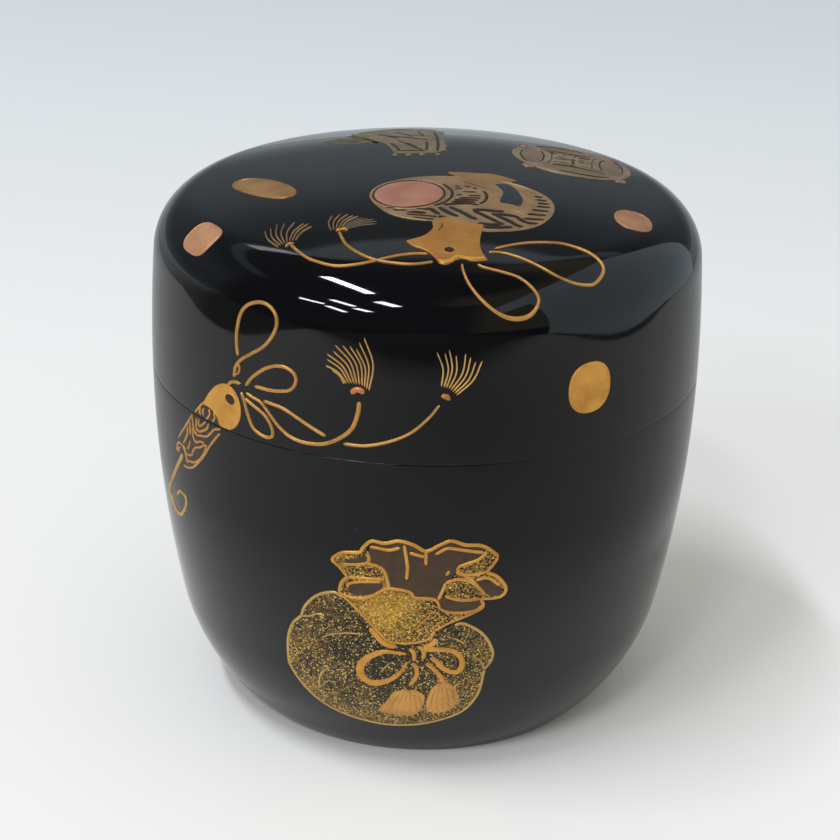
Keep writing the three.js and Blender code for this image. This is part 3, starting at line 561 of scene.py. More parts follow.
def body_profile():
    """From the foot's recess out round the foot ring, up the outside to the ledge and the lip, and down
    inside to the middle of the floor."""
    lip_radius = OUTER_RADIUS - LID_WALL - LIP_CLEARANCE
    chamber_radius = lip_radius - LIP_THICKNESS
    lip_top = BODY_HEIGHT + LIP_HEIGHT
    floor_level = FOOT_RECESS_DEPTH + FLOOR_THICKNESS
    inner_side = BODY_SIDE_RADIUS - BODY_WALL
    inner_haunch = HAUNCH_RADIUS - BODY_WALL
    chamber_drop = math.sqrt(inner_side ** 2 - (chamber_radius - BODY_SIDE_CENTRE[0]) ** 2)
    chamber_start = -math.degrees(math.asin(chamber_drop / inner_side))
    floor_angle = math.degrees(math.asin((floor_level - HAUNCH_LEVEL) / inner_haunch))
    side_end = -math.degrees(math.asin(SEAM_EDGE_RADIUS / BODY_SIDE_RADIUS))
    return joined(
        (0, FOOT_RECESS_DEPTH),
        (FOOT_RADIUS - FOOT_RING_WIDTH, FOOT_RECESS_DEPTH),
        (FOOT_RADIUS - FOOT_RING_WIDTH, 0),
        arc(HAUNCH_CENTRE, HAUNCH_RADIUS, -FOOT_ANGLE, HAUNCH_START, HAUNCH_STEPS),
        arc(BODY_SIDE_CENTRE, BODY_SIDE_RADIUS, HAUNCH_START, side_end, SIDE_STEPS),
        arc((OUTER_RADIUS - SEAM_EDGE_RADIUS, BODY_HEIGHT - SEAM_EDGE_RADIUS), SEAM_EDGE_RADIUS, 0, 90,
            EDGE_STEPS),
        (lip_radius, BODY_HEIGHT),
        (lip_radius, lip_top - LIP_EDGE_CHAMFER),
        (lip_radius - LIP_EDGE_CHAMFER, lip_top),
        (chamber_radius, lip_top),
        arc(BODY_SIDE_CENTRE, inner_side, chamber_start, HAUNCH_START, SIDE_STEPS),
        arc(HAUNCH_CENTRE, inner_haunch, HAUNCH_START, floor_angle, HAUNCH_STEPS),
        (0, floor_level))


# Finishes

# The patterns' sizes and the bumps' depths, in millimetres, and the middles of the sprinkled areas
POWDER_CLOUDS = 2.6
POWDER_GRAIN = 0.16
POWDER_DEPTH = 0.02
RUBBED_GRAIN = 1.2
SWELL_GRAIN = 9.0
SWELL_DEPTH = 0.012
SPECK_SPACING = 2.9
SPECK_SIZE_GRAIN = 3.1
DRIFT_GRAIN = 3.2
FLAKE_DEPTH = 0.03
STREAK_GRAIN = 0.9
STREAK_DEPTH = 0.006
BAG_FLAKE = 0.14
BAG_MIDDLE = (-3.3, -31.8, 18.0)
BAG_REACHES = (4.0, 12.5)
RUFFLE_FLAKE = 0.15
RUFFLE_MIDDLE = (-4.0, -32.8, 23.6)
RUFFLE_REACHES = (1.5, 5.5)

# Ranges of values: of most noise, and of what is made from it
NOISE_RANGE = (0.3, 0.7)
CLOUD_SHARES = (0.0, 0.6)
GRAIN_SHARES = (0.0, 0.5)
DARK_AND_LIGHT = (0.1, 0.85)
ROUGHNESS_SPREAD = 0.1
SPECK_NOISE = (0.45, 0.75)
SPECK_SIZES = (0.0, 0.03)
POLISH_ROUGHNESS = (0.03, 0.055)
DUST_ROUGHNESS = 0.4
LACQUER_IOR = 1.5
COVER_DRIFT = (-0.2, 0.2)
BRIGHT_ABOVE = 0.8
FLAKE_METALLIC = 0.6
FLAKE_ROUGHNESS = (0.22, 0.5)
BAG_COVERS = (0.36, 0.6)
RUFFLE_COVERS = (0.9, 0.58)
SATIN_SMOOTHER = 0.06
SATIN_ROUGHER = 0.08

# Colours, in the shader's own values where there are four, and the emission strength that leaves them so
BLACK = (0.0, 0.0, 0.0, 1.0)
LACQUER_BLACK = (0.0035, 0.0036, 0.0042, 1.0)
DUST_GREY = (150, 150, 155)
BOARD_GLOW_COLOUR = (0.52, 0.62, 0.68, 1.0)
PLAIN_STRENGTH = 1.0


def ink(red, green, blue):
    """A colour as read from a screen, 0 to 255, in the linear values that a shader takes."""
    shares = (value / 255 for value in (red, green, blue))
    return (*(((share + 0.055) / 1.055) ** 2.4 if share > 0.04 else share / 12.92 for share in shares), 1.0)


class Nodes:
    """A node tree and short ways to add to it. A socket is fed by another socket or by a constant."""

    def __init__(self, tree):
        self.tree = tree

    def node(self, kind, **settings):
        made = self.tree.nodes.new(kind)
        for setting, value in settings.items():
            setattr(made, setting, value)
        return made

    def feed(self, source, socket):
        if isinstance(source, bpy.types.NodeSocket):
            self.tree.links.new(source, socket)
        else:
            socket.default_value = source

    def split(self, source):
        """The three parts of a place or a direction."""
        made = self.node("ShaderNodeSeparateXYZ")
        self.feed(source, made.inputs[0])
        return made.outputs

    def ramp(self, source, stops):
        """Colours set along a value."""
        made = self.node("ShaderNodeValToRGB")
        stripe = made.color_ramp
        while len(stripe.elements) < len(stops):
            stripe.elements.new(1.0)
        for element, (position, colour) in zip(stripe.elements, stops):
            element.position = position
            element.color = colour
        self.feed(source, made.inputs["Fac"])
        return made.outputs["Color"]

    def stretch(self, source, low, high, out_low=0.0, out_high=1.0):
        """A value carried evenly from one range to another."""
        made = self.node("ShaderNodeMapRange")
        sockets = ("From Min", "From Max", "To Min", "To Max")
        for socket, value in zip(sockets, (low, high, out_low, out_high)):
            made.inputs[socket].default_value = value
        self.feed(source, made.inputs["Value"])
        return made.outputs["Result"]

    def blend(self, share, first, second):
        """One colour turning into another."""
        made = self.node("ShaderNodeMix", data_type="RGBA")
        for source, socket in ((share, 0), (first, 6), (second, 7)):
            self.feed(source, made.inputs[socket])
        return made.outputs[2]

    def sum(self, kind, *values):
        made = self.node("ShaderNodeMath", operation=kind)
        for source, socket in zip(values, made.inputs):
            self.feed(source, socket)
        return made.outputs[0]


class Finish(Nodes):
    """A material and short ways to add its nodes. Patterns are measured in metres on the object."""

    def __init__(self, name):
        self.material = bpy.data.materials.new(name)
        self.material.use_nodes = True
        super().__init__(self.material.node_tree)
        self.shader = self.tree.nodes["Principled BSDF"]
        self.place = self.node("ShaderNodeTexCoord").outputs["Object"]

    def into(self, source, socket):
        self.feed(source, self.shader.inputs[socket])

    def noise(self, grain, detail=3.0, roughness=0.5):
        """Noise whose lumps are about one grain across, in millimetres."""
        made = self.node("ShaderNodeTexNoise")
        made.inputs["Scale"].default_value = 1 / (grain * MM)
        made.inputs["Detail"].default_value = detail
        made.inputs["Roughness"].default_value = roughness
        self.feed(self.place, made.inputs["Vector"])
        return made.outputs["Fac"]

    def cells(self, grain):
        """Cells about one grain across, in millimetres."""
        made = self.node("ShaderNodeTexVoronoi")
        made.inputs["Scale"].default_value = 1 / (grain * MM)
        self.feed(self.place, made.inputs["Vector"])
        return made.outputs

    def reach(self, source, reaches, out_low=0.0, out_high=1.0):
        """A length carried evenly from its value at one reach to that at another, in millimetres."""
        return self.stretch(source, reaches[0] * MM, reaches[1] * MM, out_low, out_high)

    def distance(self, middle):
        """How far each place is from a middle in millimetres."""
        made = self.node("ShaderNodeVectorMath", operation="DISTANCE")
        self.feed(self.place, made.inputs[0])
        made.inputs[1].default_value = Vector(middle) * MM
        return made.outputs["Value"]

    def bump(self, source, depth):
        """Lifts the surface by a value times a depth in millimetres."""
        made = self.node("ShaderNodeBump")
        made.inputs["Strength"].default_value = 1.0
        made.inputs["Distance"].default_value = depth * MM
        self.feed(source, made.inputs["Height"])
        self.into(made.outputs["Normal"], "Normal")
        return self.material


def powdered_metal(name, light, dark, metallic=0.45, roughness=0.42):
    """Metal powder burnished on raised lacquer: two tones in slow clouds and fine grains, uneven gloss, and a
    slightly rough skin."""
    finish = Finish(name)
    clouds = finish.noise(POWDER_CLOUDS, detail=2.0)
    grains = finish.noise(POWDER_GRAIN, detail=2.0, roughness=0.6)
    cloud_share = finish.stretch(clouds, *NOISE_RANGE, *CLOUD_SHARES)
    grain_share = finish.stretch(grains, *NOISE_RANGE, *GRAIN_SHARES)
    stops = list(zip(DARK_AND_LIGHT, (ink(*dark), ink(*light))))
    finish.into(finish.ramp(finish.sum("ADD", cloud_share, grain_share), stops), "Base Color")
    spread = (roughness - ROUGHNESS_SPREAD, roughness + ROUGHNESS_SPREAD)
    finish.into(finish.stretch(grains, *NOISE_RANGE, *spread), "Roughness")
    finish.into(metallic, "Metallic")
    return finish.bump(grains, POWDER_DEPTH)


def polished_lacquer():
    """Black lacquer polished by hand: nearly black, a mirror with slow hollows and swells, faint rubbing
    marks in its gloss, and a few specks of dust."""
    finish = Finish("polished_black_lacquer")
    rubbed = finish.noise(RUBBED_GRAIN, detail=4.0, roughness=0.65)
    swells = finish.noise(SWELL_GRAIN, detail=1.0)
    speck_size = finish.stretch(finish.noise(SPECK_SIZE_GRAIN), *SPECK_NOISE, *SPECK_SIZES)
    dust = finish.sum("LESS_THAN", finish.cells(SPECK_SPACING)["Distance"], speck_size)
    finish.into(finish.blend(dust, LACQUER_BLACK, ink(*DUST_GREY)), "Base Color")
    polish = finish.stretch(rubbed, *NOISE_RANGE, *POLISH_ROUGHNESS)
    finish.into(finish.sum("ADD", polish, finish.sum("MULTIPLY", dust, DUST_ROUGHNESS)), "Roughness")
    finish.into(LACQUER_IOR, "IOR")
    return finish.bump(swells, SWELL_DEPTH)


def sprinkled_gold(name, lacquers, flakes, brights, grain, covers, middle, reaches):
    """Gold flakes sprinkled in tinted lacquer: cells whose own random number is under the cover are gold,
    each with its own tone, gloss and tilt; the rest is the lacquer between them. Each pair holds the value
    near the middle and the value far from it, at the two reaches in millimetres."""
    finish = Finish(name)
    outward = finish.reach(finish.distance(middle), reaches)
    parts = finish.node("ShaderNodeSeparateColor")
    finish.feed(finish.cells(grain)["Color"], parts.inputs["Color"])
    cover_chance, bright_chance, tilt = parts.outputs
    drift = finish.stretch(finish.noise(DRIFT_GRAIN, detail=2.0), *NOISE_RANGE, *COVER_DRIFT)
    cover = finish.stretch(outward, 0.0, 1.0, *covers)
    is_flake = finish.sum("LESS_THAN", cover_chance, finish.sum("ADD", drift, cover))
    lacquer, flake, bright = (
        finish.blend(outward, ink(*near), ink(*far)) for near, far in (lacquers, flakes, brights))
    tone = finish.blend(finish.sum("GREATER_THAN", bright_chance, BRIGHT_ABOVE), flake, bright)
    finish.into(finish.blend(is_flake, lacquer, tone), "Base Color")
    finish.into(finish.sum("MULTIPLY", is_flake, FLAKE_METALLIC), "Metallic")
    finish.into(finish.stretch(tilt, 0.0, 1.0, *FLAKE_ROUGHNESS), "Roughness")
    return finish.bump(finish.sum("MULTIPLY", is_flake, tilt), FLAKE_DEPTH)


def tinted_lacquer(name, colour, other, roughness):
    """Coloured lacquer brushed thin: two near tones in streaks and a satin gloss that varies with them."""
    finish = Finish(name)
    streaks = finish.noise(STREAK_GRAIN, detail=3.0, roughness=0.6)
    finish.into(finish.ramp(streaks, list(zip(NOISE_RANGE, (ink(*colour), ink(*other))))), "Base Color")
    spread = (roughness - SATIN_SMOOTHER, roughness + SATIN_ROUGHER)
    finish.into(finish.stretch(streaks, *NOISE_RANGE, *spread), "Roughness")
    return finish.bump(streaks, STREAK_DEPTH)


# Each finish: its tones, the light or inner one first, and where it differs from most, metallic and roughness
LACQUER = polished_lacquer()
GOLD = powdered_metal("burnished_gold", (226, 166, 76), (188, 126, 48))
KEY_GOLD = powdered_metal("key_gold", (230, 172, 80), (198, 138, 54))
CORD_GOLD = powdered_metal("cord_gold", (216, 160, 84), (166, 120, 62))
BRIGHT_GOLD = powdered_metal("bright_gold", (234, 180, 84), (208, 150, 60), roughness=0.4)
HANDLE_GOLD = powdered_metal("handle_gold", (198, 140, 68), (164, 112, 52))
BROWN_GOLD = powdered_metal("brown_gold", (178, 142, 100), (146, 114, 78))
STRAW_GOLD = powdered_metal("straw_gold", (174, 145, 106), (134, 111, 82))
STRAND_GOLD = powdered_metal("strand_gold", (232, 188, 116), (200, 154, 84))
DIM_GOLD = powdered_metal("dim_gold", (118, 108, 84), (84, 78, 64), 0.4, 0.45)
GREY_GOLD = powdered_metal("greyed_gold", (168, 146, 114), (130, 112, 88))
CAPE_GOLD = powdered_metal("cape_gold", (152, 136, 102), (114, 102, 78))
PALE_GOLD = powdered_metal("pale_gold", (212, 172, 100), (178, 140, 78))
COIN_GOLD = powdered_metal("coin_gold", (180, 138, 88), (146, 106, 64))
DIM_COPPER = powdered_metal("dim_copper", (198, 150, 112), (168, 120, 86))
COPPER = powdered_metal("copper_powder", (214, 160, 120), (184, 130, 92))
KNOT_COPPER = powdered_metal("knot_copper", (218, 144, 82), (182, 110, 58))
PINK_COPPER = powdered_metal("rosy_copper", (196, 140, 116), (170, 116, 96), 0.4, 0.45)
PEARL_BROWN = powdered_metal("pearl_brown", (158, 130, 110), (122, 100, 86))
LENS_GOLD = powdered_metal("lens_brown_gold", (146, 126, 102), (118, 100, 82), 0.4, 0.45)
WINDOW_LINE = powdered_metal("window_grey", (74, 80, 88), (56, 62, 70), 0.3, 0.45)
SPRINKLED_BAG = sprinkled_gold(
    "gold_flakes_on_dark", ((14, 12, 8), (34, 26, 12)), ((112, 94, 50), (148, 116, 56)),
    ((226, 198, 122), (234, 198, 112)), BAG_FLAKE, BAG_COVERS, BAG_MIDDLE, BAG_REACHES)
SPRINKLED_GOLD = sprinkled_gold(
    "gold_flakes_dense", ((112, 80, 24), (34, 26, 12)), ((192, 146, 56), (168, 128, 56)),
    ((246, 210, 110), (238, 200, 108)), RUFFLE_FLAKE, RUFFLE_COVERS, RUFFLE_MIDDLE, RUFFLE_REACHES)
LINE_BROWN = tinted_lacquer("brown_line_lacquer", (54, 35, 20), (34, 22, 14), 0.4)
INNER_BROWN = tinted_lacquer("brown_inner_lacquer", (76, 55, 32), (60, 43, 24), 0.35)
GRIP_BROWN = tinted_lacquer("brown_grip_lacquer", (56, 44, 34), (38, 30, 24), 0.3)
WINDOW_BLUE = tinted_lacquer("blue_grey_lacquer", (38, 45, 54), (28, 34, 42), 0.25)

# The two turned pieces
turned("turned_lid", lid_profile(), LACQUER, "cover", ["lid"])
turned("turned_body", body_profile(), LACQUER, "vessel", ["body"])

# Where each motif is drawn, and its span
CROWN = (DrawingPlane(0.0, STRAIGHT_UP, 0.0),)
CAPE = (*CROWN, CAPE_SPAN)
MALLET = (shoulder_plane(MALLET_AZIMUTH, MALLET_ELEVATION, MALLET_ABOVE_SHOULDER), MALLET_SPAN)
KEY = (DrawingPlane(KEY_AZIMUTH, 0.0, BODY_HEIGHT - KEY_BELOW_SEAM), KEY_SPAN)
KEY_CORD = (
    DrawingPlane(KEY_CORD_AZIMUTH, KEY_CORD_ELEVATION, BODY_HEIGHT + KEY_CORD_ABOVE_SEAM), KEY_CORD_SPAN)
POUCH = (DrawingPlane(POUCH_AZIMUTH, POUCH_ELEVATION, BODY_HEIGHT - POUCH_BELOW_SEAM), POUCH_SPAN)

# The lucky mallet
mallet_barrel_shares = [
    [[-14.5, -26.5], [-28, -21], [-37, -11.5], [-42, 5], [-38.5, 16], [-29, 24.5], [-16, 29.5], [0, 30.5],
     [13, 28.5]],
    [[13, 28.5], [30, 25], [41.5, 20], [53, 9.5], [59, -3], [56.5, -18], [46, -32], [32, -39],
     [14.5, -40.5]],
    [[14.5, -40.5], [0, -36], [-14.5, -26.5]],
]
mallet_rim_shares = mallet_barrel_shares[1][::-1] + mallet_barrel_shares[0][-2::-1]
mallet_barrel_middle_share = (7, -5)
mallet_crest_shares = [
    [[7, 37], [16, 36.5], [25, 35], [34, 33.5], [45.5, 24.5]],
    [[45.5, 24.5], [36, 22], [26, 23], [16, 21.5]],
    [[16, 21.5], [12, 28.5], [7, 37]],
]
mallet_handle_shares = [
    [[-6, -23], [-13, -27], [-14.5, -35], [-21, -42.5], [-31, -47]],
    [[-31, -47], [-28.5, -52], [-22, -58], [-18.5, -65], [-17, -71]],
    [[-17, -71], [-13, -72.5], [-8.5, -69], [-3.5, -67.5], [2, -70.5], [9.5, -70]],
    [[9.5, -70], [8, -61.5], [8.5, -52.5], [11, -43], [14.5, -33]],
    [[14.5, -33], [4, -30], [-6, -23]],
]
mallet_handle_middle_share = (-4, -51)
mallet_window_shares = [
    [[30.5, 18.5], [32.5, 13], [33, 7], [31, 1], [29, -4], [28.5, -7.5]],
    [[28.5, -7.5], [34, -9.5], [38, -12]],
    [[38, -12], [40.5, -10], [43, -3], [43, 4], [42, 11], [39.5, 17], [36.5, 19.5]],
    [[36.5, 19.5], [30.5, 18.5]],
]
mallet_strap_shares = [
    [[13.5, 22], [22, 23], [31, 21.5], [39, 18.5], [45.5, 14], [49, 4], [49, -6], [45, -16], [39.5, -21.5]],
    [[39.5, -21.5], [35, -17.5], [26, -14], [18, -12]],
    [[18, -12], [22.5, -4], [24.8, 5], [24, 14.5], [20, 21]],
]
mallet_strap_middle_share = (35, 2.5)
mallet_wide_dark_shares = [
    [[-16, -13.5], [-12, -13], [-10, -17], [-8, -20.5]],
    [[-7, -11], [-5, -15], [-1.5, -20], [2, -23.5]],
    [[-1, -11], [2, -15], [6, -20], [9, -25], [12, -27]],
    [[11.5, -16.5], [15, -21], [19, -26], [23, -31], [25.5, -33.5]],
    [[21, -20], [25, -24.5], [29.5, -29.5], [33, -34.5], [36, -35]],
    [[34.5, -25], [37, -28.5], [39.5, -31.5]],
    [[11, -15.5], [17.5, -16], [23, -17.5], [29, -18]],
    [[21.5, -21.5], [27, -21.5], [32, -23], [36, -25]],
    [[11, -31.5], [17, -33], [24, -33.5]],
    [[13, -36], [21, -36.5], [30, -36]],
    [[-23, -15], [-19, -16.5], [-15, -17.7]],
    [[-9.5, -22], [-4.5, -24.5]],
]
mallet_hatch_shares = [
    [[50.5, 2.5], [55.5, 1.5]],
    [[50.5, -2], [57, -3]],
    [[50, -6.5], [57.5, -7]],
    [[48.5, -10.5], [57, -11.5]],
    [[45, -15], [55, -16.5]],
    [[41, -20.5], [52.5, -21.5]],
    [[38, -26], [50, -27]],
    [[38, -31], [46, -32]],
    [[3, -3], [11, -3], [17, -4]],
    [[1, -5.5], [9, -5.3], [15, -6.5]],
    [[-4, -8.5], [3, -8], [10, -8], [16, -10]],
]
mallet_dark_shares = [
    [[22, 9], [23, 4], [22, -1.5], [19.5, -6], [16.5, -8.5]],
    [[1, 19.5], [4, 10], [3, 2.5], [0, -2.5], [-4, -6.5], [-9.5, -9]],
    [[6.5, 12.5], [11, 12.5]],
    [[12, 15.5], [16.5, 14.5]],
    [[7, 16], [10, 15.5]],
    [[16.5, 12.5], [19.5, 12]],
    [[10, 7.5], [18, 7]],
    [[5.5, 3.5], [9.5, 3.5]],
    [[12, 2.5], [19.5, 2]],
    [[-30, -7], [-22, -7], [-14, -6]],
    [[-20, -12], [-14, -13]],
    [[6, -0.5], [13, -0.5], [19, -1.5]],
    [[-33, -11.5], [-25, -13]],
    [[-26, -15], [-21, -16.5], [-17, -17]],
    [[-26.5, -17.5], [-20, -19.5], [-13.5, -21.5], [-10, -22.5]],
    [[-23.5, -21.5], [-17, -24], [-12, -25]],
    [[-36.5, -8], [-28, -9.5], [-20, -9.5], [-11, -8]],
]
mallet_band_line_shares = [
    [[1.5, 25], [5.5, 15], [5.5, 5], [2.5, -2.5], [-2, -7.5]],
    [[40, 18], [46, 11], [49.5, 2.5], [49, -4], [46.5, -11], [43, -16.5], [38, -22]],
]
mallet_handle_line_shares = [[-8.5, -30], [-9.5, -35], [-12.5, -39]]
mallet_glow_shares = [[-17, -68], [-13.5, -69.5], [-10, -68], [-6, -65.5], [-2, -67], [4, -68],
                      [8.5, -67.5]]
mallet_window_line_shares = [
    [[33, 15], [40, 13.5]],
    [[33.5, 10], [41.5, 8.5]],
    [[33.5, 5], [42, 3.5]],
    [[33, 0], [42, -1.5]],
    [[32, -4.5], [41, -6.5]],
]
mallet_knot_shares = [[-17, -67], [-15, -70.5], [-11, -70], [-8, -67]]
mallet_end_share = (-20.5, 8)
mallet_end_size_shares = np.array([39.5, 34.5])
mallet_end_turn = 12.0
barrel_rim_share = 1.1
end_disc_rim_share = 1.03
mallet_end = oval(mallet_end_share, *mallet_end_size_shares, mallet_end_turn)
barrel_rim = oval(
    mallet_end_share, *mallet_end_size_shares * barrel_rim_share, mallet_end_turn, count=MALLET_END_POINTS)
end_disc_rim = oval(
    mallet_end_share, *mallet_end_size_shares * end_disc_rim_share, mallet_end_turn, count=MALLET_END_POINTS)
mallet_hole_share = (-9.5, -59)
mallet_hole_size_shares = (6, 6)
mallet_hole = oval(mallet_hole_share, *mallet_hole_size_shares, count=SMALL_OVAL_POINTS)

work = RaisedWork(*MALLET)
work.fill(mallet_barrel_shares, middle=mallet_barrel_middle_share)
work.brush(mallet_rim_shares, *BARREL_RIM)
work.ring(barrel_rim, *BARREL_RIM)
work.finish("mallet_barrel_gold", STRAW_GOLD, "cover", ["mallet"])

work = RaisedWork(*MALLET)
work.fill(mallet_strap_shares, *STRAP_FILL, middle=mallet_strap_middle_share)
work.brushes(mallet_band_line_shares, *STRAP_RIM)
work.finish("mallet_strap_gold", BROWN_GOLD, "cover")

work = RaisedWork(*MALLET)
work.fill(mallet_crest_shares, *HANDLE_FILL)
work.finish("mallet_crest", COIN_GOLD, "cover")

work = RaisedWork(*MALLET)
work.fill(mallet_handle_shares, *HANDLE_FILL, middle=mallet_handle_middle_share)
work.ring(mallet_hole, *HANDLE_HOLE_RIM)
work.finish("mallet_handle_gold", HANDLE_GOLD, "cover")

work = RaisedWork(*MALLET)
work.brush(mallet_glow_shares, *HANDLE_RIM)
work.finish("mallet_handle_rim", BRIGHT_GOLD, "cover")

work = RaisedWork(*MALLET)
work.fill(mallet_end, *END_DISC_FILL)
work.finish("mallet_end_disc", PINK_COPPER, "cover", slot="copper")

work = RaisedWork(*MALLET)
work.brushes(mallet_wide_dark_shares, *BARK)
work.brushes(mallet_hatch_shares, *HATCH)
work.brushes(mallet_dark_shares, *HERRINGBONE)
work.ring(end_disc_rim, *END_DISC_RIM)
work.fill(mallet_hole, *HANDLE_HOLE_FILL)
work.brush(mallet_handle_line_shares, *HANDLE_LINE)
work.finish("mallet_brown_lines", LINE_BROWN, "cover")

work = RaisedWork(*MALLET)
work.fill(mallet_window_shares, *WINDOW_FILL)
work.finish("mallet_window", WINDOW_BLUE, "cover", slot="black_lacquer")

work = RaisedWork(*MALLET)
work.brushes(mallet_window_line_shares, *WINDOW_BAR)
work.finish("mallet_window_lines", WINDOW_LINE, "cover")

# The mallet's cords and tassels
inner_cord_shares = [[-20, -69], [-30, -70], [-40, -67.5], [-50, -62.5], [-57.5, -54.5], [-63, -44],
                     [-65, -30]]
outer_cord_shares = [[-21.5, -61], [-30, -60], [-40, -61], [-50, -63.5], [-60, -65], [-71, -63.5],
                     [-81, -56.5], [-86.5, -49.5], [-92, -37]]
upper_loop_shares = [[11.5, -62], [18, -62.5], [26, -66.5], [35, -74], [44, -81], [52.5, -84.3],
                     [60, -84.5], [66.5, -82.5], [72, -76], [73.5, -70.5], [71, -64.5], [65, -58],
                     [56, -53], [47.5, -51.7], [35, -52.5], [25, -55], [15.5, -58.5]]
lower_loop_shares = [[3.3, -73.5], [6.5, -76.5], [14.5, -80], [23.5, -84], [30, -90], [33, -95.5],
                     [31, -100.5], [26, -104], [19, -105.2], [12, -104], [5, -100], [-0.5, -94], [-4, -87],
                     [-5.3, -79], [-5, -72.5]]
outer_strand_tip_shares = [[-104, -17.5], [-100.5, -15], [-96.5, -12], [-92.5, -12.5], [-87, -13],
    [-82.5, -16], [-80, -17], [-78.5, -20.5]]
outer_strand_root_shares = [[-98.5, -37.5], [-96, -35.5], [-93, -33], [-89, -33]]
inner_strand_tip_shares = [[-66, -11], [-61.5, -10.5], [-57.5, -11.5], [-55, -14], [-52.5, -15.5]]
inner_strand_root_shares = [[-69, -28], [-66, -26.5], [-63, -26]]
faint_strand_tip_shares = [[-50, -17], [-47.5, -18.5], [-44.5, -20], [-43, -22.5], [-43.5, -25.5]]
faint_strand_root_shares = [[-62, -25.5], [-60.5, -26.5], [-60.5, -27.5]]
outer_knot_shares = [[-95, -38.5], [-93, -36], [-90, -36]]
inner_knot_shares = [[-66.5, -28.5], [-63, -28], [-61, -28.5], [-60.5, -30]]

work = RaisedWork(*MALLET)
work.brushes([inner_cord_shares, outer_cord_shares], *CORD)
work.brush(outer_knot_shares, *OUTER_KNOT)
work.brush(inner_knot_shares, *INNER_KNOT)
work.finish("mallet_tassels", CORD_GOLD, "cover", ["mallet_tassel_cords"])

work = RaisedWork(*MALLET)
work.strands(outer_strand_root_shares, outer_strand_tip_shares, OUTER_STRAND_BOW, *STRAND)
work.strands(inner_strand_root_shares, inner_strand_tip_shares, INNER_STRAND_BOW, *STRAND)
work.finish("mallet_tassel_strands", STRAW_GOLD, "cover")

work = RaisedWork(*MALLET)
work.strands(faint_strand_root_shares, faint_strand_tip_shares, FAINT_STRAND_BOW, *FAINT_STRAND)
work.finish("mallet_inner_tassel", DIM_GOLD, "cover")

for loop_name, loop_shares in (
        ("mallet_upper_loop", upper_loop_shares), ("mallet_lower_loop", lower_loop_shares)):
    work = RaisedWork(*MALLET)
    work.brush(loop_shares, *LOOP_CORD)
    work.finish(loop_name + "_cord", CORD_GOLD, "cover", [loop_name])

work = RaisedWork(*MALLET)
work.brush(mallet_knot_shares, *CORD)
work.finish("mallet_cord_knot", BRIGHT_GOLD, "cover")

# The storehouse key
key_cap_shares = [
    [[-1.5, 20.5], [5, 29.5], [12, 36], [20, 38.5], [26.5, 35], [30, 28], [29.5, 20.5], [26, 14.5],
     [21.5, 11.5]],
    [[21.5, 11.5], [14, 11.5]],
    [[14, 11.5], [12.5, 14.5], [11, 16.5], [6, 19.5], [-1.5, 20.5]],
]
key_cap_middle_share = (17, 24.5)
key_cap_cell_shares = [
    [[-1.5, 20.5], [6, 19.5], [11, 16.5], [12.5, 14.5], [13.5, 12.4]],
    [[13.5, 12.4], [-8.5, 12.4]],
    [[-8.5, 12.4], [-1.5, 20.5]],
]
key_cap_cell_middle_share = (2.5, 16)
key_cap_line_shares = [
    [[-1, 21], [-5, 17], [-9.5, 12]],
    [[-1.5, 20.5], [5, 20.5], [10, 18.5], [13, 15], [14, 12]],
    [[0, 18], [-1.5, 15.5], [-0.5, 13]],
    [[4.5, 19], [5, 16], [3, 13], [1.5, 12]],
    [[8.5, 18.5], [9.5, 16], [8.5, 13.5], [7, 12]],
    [[-3.5, 17.5], [-4.5, 14.5], [-3.5, 12.5]],
]
key_grip_shares = [
    [[-11.5, 9.5], [-18, 3.5], [-26, -6.5], [-31.5, -13]],
    [[-31.5, -13], [-33, -19.5]],
    [[-33, -19.5], [-29.5, -17], [-26, -17.5], [-22.5, -21.5], [-22, -26.5]],
    [[-22, -26.5], [-17, -26.5], [-7.5, -19.5], [3, -7], [10.5, 3.5], [14.5, 9.5]],
    [[14.5, 9.5], [-11.5, 9.5]],
]
key_grip_middle_share = (-13, -12)
key_grip_line_shares = [
    [[-12, 10], [-16.5, 4.5], [-21.5, -1.5], [-26.5, -7], [-31, -12.5]],
    [[13.5, 7], [9, 2], [4.5, -3.5], [0, -9.5], [-4.5, -15], [-9.5, -20], [-15, -24.5], [-21, -27],
     [-26, -27.5]],
    [[1, -5], [-2, -11], [-7.5, -17], [-13, -20.5], [-21, -22.5]],
    [[-5.5, 10], [-6, 6], [-4.5, 5.5], [-1, 8], [1, 10]],
    [[-8, 9.5], [-8.5, 4.5], [-7.5, 2], [-4.5, 2], [-1, 4], [2, 6], [4, 10]],
    [[-12.5, 9.5], [-12, 4.5], [-10.5, 0.5], [-8, -1.5], [-4.5, -0.5], [1.5, 1], [5, 4], [9, 8], [14, 9.5]],
    [[-12.5, 2], [-12, -4], [-9.5, -6.5], [-5.5, -4.5], [-1, -4]],
    [[-15.5, 4.5], [-15, 0], [-15.5, -4]],
    [[-18, 0.5], [-18.5, -4], [-21, -8.5], [-24.5, -13]],
    [[-16, -8], [-17.5, -12], [-20.5, -15]],
    [[-22, -18], [-18, -18], [-14.5, -16], [-13, -13], [-10, -10], [-5, -8], [-1.5, -5.5], [1.5, -5]],
]
key_foot_ring_shares = [
    [[-34, -21.5], [-33, -18], [-31.5, -15.5], [-28.5, -14.5], [-25, -15], [-23, -17], [-21.5, -20.5],
     [-21, -24.5]],
    [[-31.5, -21.5], [-31, -18.5], [-28.5, -17]],
]
key_rod_shares = [[-26.5, -21], [-37.5, -34.5], [-47.5, -46.5], [-55.5, -56], [-54, -62], [-47, -66.5],
                  [-39, -66], [-32, -60], [-27.5, -53], [-28, -49.5], [-32, -48.5], [-36.5, -49.5],
                  [-40, -53]]
key_hole_share = (22.5, 30.5)
key_hole_turn = -10.0
key_hole_size_shares = (7.7, 6.3)
